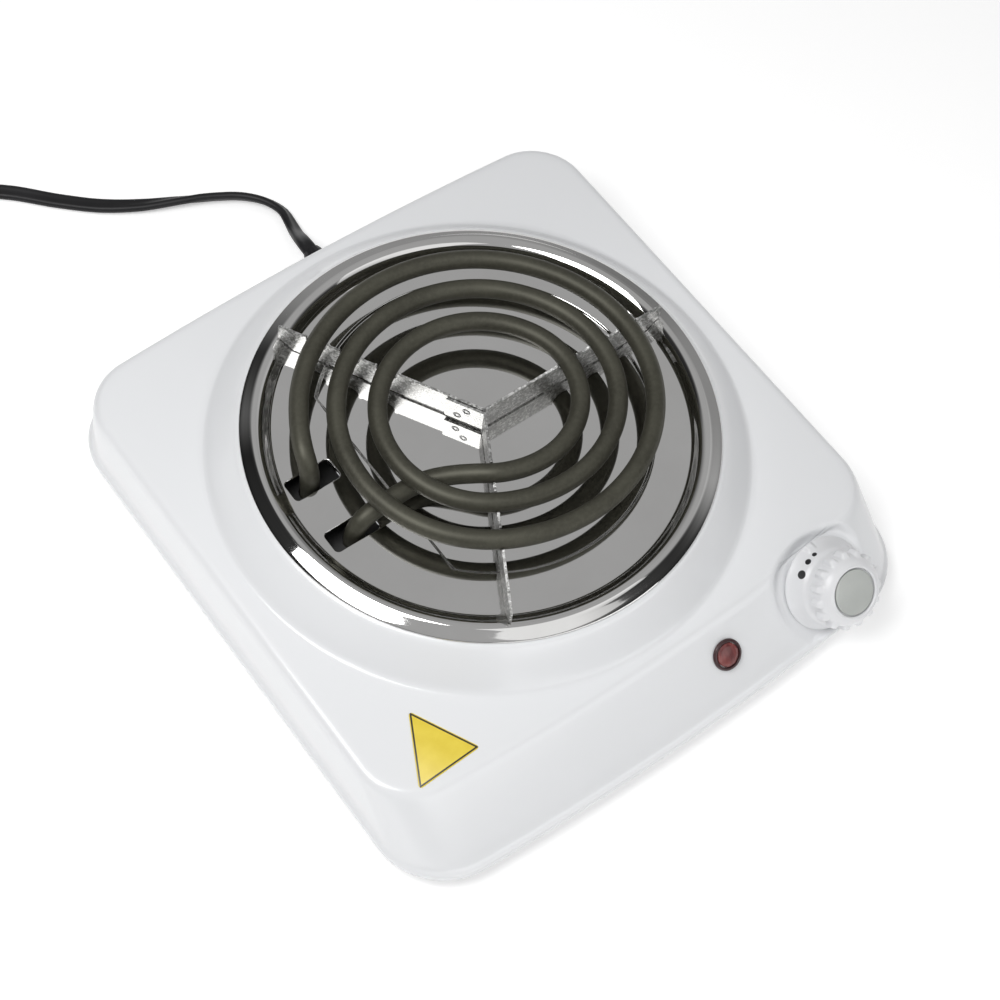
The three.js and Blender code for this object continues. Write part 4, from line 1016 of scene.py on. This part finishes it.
def add_floor():
    """A matt white sweep that glows a little, so that it stays pale away from the lamps."""
    s = FLOOR_HALF
    mesh = bpy.data.meshes.new("floor")
    mesh.from_pydata([(-s, -s, 0), (s, -s, 0), (s, s, 0), (-s, s, 0)], [], [(0, 1, 2, 3)])
    floor = bpy.data.objects.new("floor", mesh)
    floor.location.z = -FLOOR_DROP
    bpy.context.scene.collection.objects.link(floor)
    n = Nodes("floor_white")
    n.set(Base_Color=n.ramp(n.noise(3, 2), (0.3, 0.86), (0.7, 0.88)), Roughness=0.9, Specular_IOR_Level=0.1,
          Emission_Color=(1, 1, 1, 1), Emission_Strength=0.40)
    mesh.materials.append(n.material)


def add_softbox(name, place, size, power):
    """A rectangular lamp that faces the hot plate."""
    light = bpy.data.lights.new(name, "AREA")
    light.shape = "RECTANGLE"
    light.size, light.size_y = size
    light.energy = power
    obj = bpy.data.objects.new(name, light)
    place = Vector(place)
    facing = (place - Vector(LIT_POINT)).to_track_quat("Z", "Y").to_matrix().to_4x4()
    obj.matrix_world = Matrix.Translation(place) @ facing
    bpy.context.scene.collection.objects.link(obj)


def lobe(tree, direction, wide, narrow):
    """A soft spot of the surround: 0 outside the wide angle round a direction, 1 inside the narrow one."""
    coordinates = tree.nodes.new("ShaderNodeTexCoord")
    dot = tree.nodes.new("ShaderNodeVectorMath")
    dot.operation = "DOT_PRODUCT"
    tree.links.new(coordinates.outputs["Generated"], dot.inputs[0])
    dot.inputs[1].default_value = Vector(direction).normalized()
    spot = tree.nodes.new("ShaderNodeMapRange")
    spot.interpolation_type = "SMOOTHSTEP"
    spot.inputs["From Min"].default_value = math.cos(math.radians(wide))
    spot.inputs["From Max"].default_value = math.cos(math.radians(narrow))
    tree.links.new(dot.outputs["Value"], spot.inputs["Value"])
    return spot.outputs["Result"]


def world_math(tree, operation, *values):
    """A Math node of the surround, fed with numbers or sockets."""
    node = tree.nodes.new("ShaderNodeMath")
    node.operation = operation
    for socket, value in zip(node.inputs, values):
        if isinstance(value, float):
            socket.default_value = value
        else:
            tree.links.new(value, socket)
    return node.outputs["Value"]


# The surround's brightness away from any lamp, and the soft areas added to it or darkened by flags in it:
# direction, the angles from it where the area ends and where it is full, and how strong it is.
WALL_LEVEL = 0.03
SOFT_AREAS = {"ceiling": ((0, 0, 1), 72, 36, 0.41), "right_card": ((1, -0.1, 0.2), 42, 18, 0.28),
              "back_glow": ((0.53, 0.83, 0.18), 36, 14, 0.30)}
FLAGS = {"front_flag": ((0.55, -0.68, 0.48), 34, 16, -0.9),
         "left_flag": ((-0.60, 0.52, 0.61), 31, 17, -0.92)}
LIT_POINT = (0, 0, 0.02)
# Softboxes: place and size in metres, power in watts.
SOFTBOXES = {"left_softbox": ((-0.36, 0.04, 0.71), (0.41, 0.41), 3.6),
             "overhead_softbox": ((0.15, -0.55, 1.08), (0.8, 0.5), 0.7),
             "front_softbox": ((0.05, -1.0, 0.5), (1.2, 0.38), 2.7)}


def add_world():
    """The studio surround: dark walls, a grey ceiling, two pale areas low down and two black flags."""
    world = bpy.data.worlds.new("studio")
    bpy.context.scene.world = world
    world.use_nodes = True
    tree = world.node_tree
    value = WALL_LEVEL
    for direction, wide, narrow, amount in SOFT_AREAS.values():
        value = world_math(tree, "MULTIPLY_ADD", lobe(tree, direction, wide, narrow), amount, value)
    for direction, wide, narrow, amount in FLAGS.values():
        keep = world_math(tree, "MULTIPLY_ADD", lobe(tree, direction, wide, narrow), amount, 1.0)
        value = world_math(tree, "MULTIPLY", value, keep)
    tree.links.new(value, tree.nodes["Background"].inputs["Color"])


add_floor()
add_world()
for softbox, (place, size, power) in SOFTBOXES.items():
    add_softbox(softbox, place, size, power)
bpy.context.scene.view_settings.view_transform = "Standard"
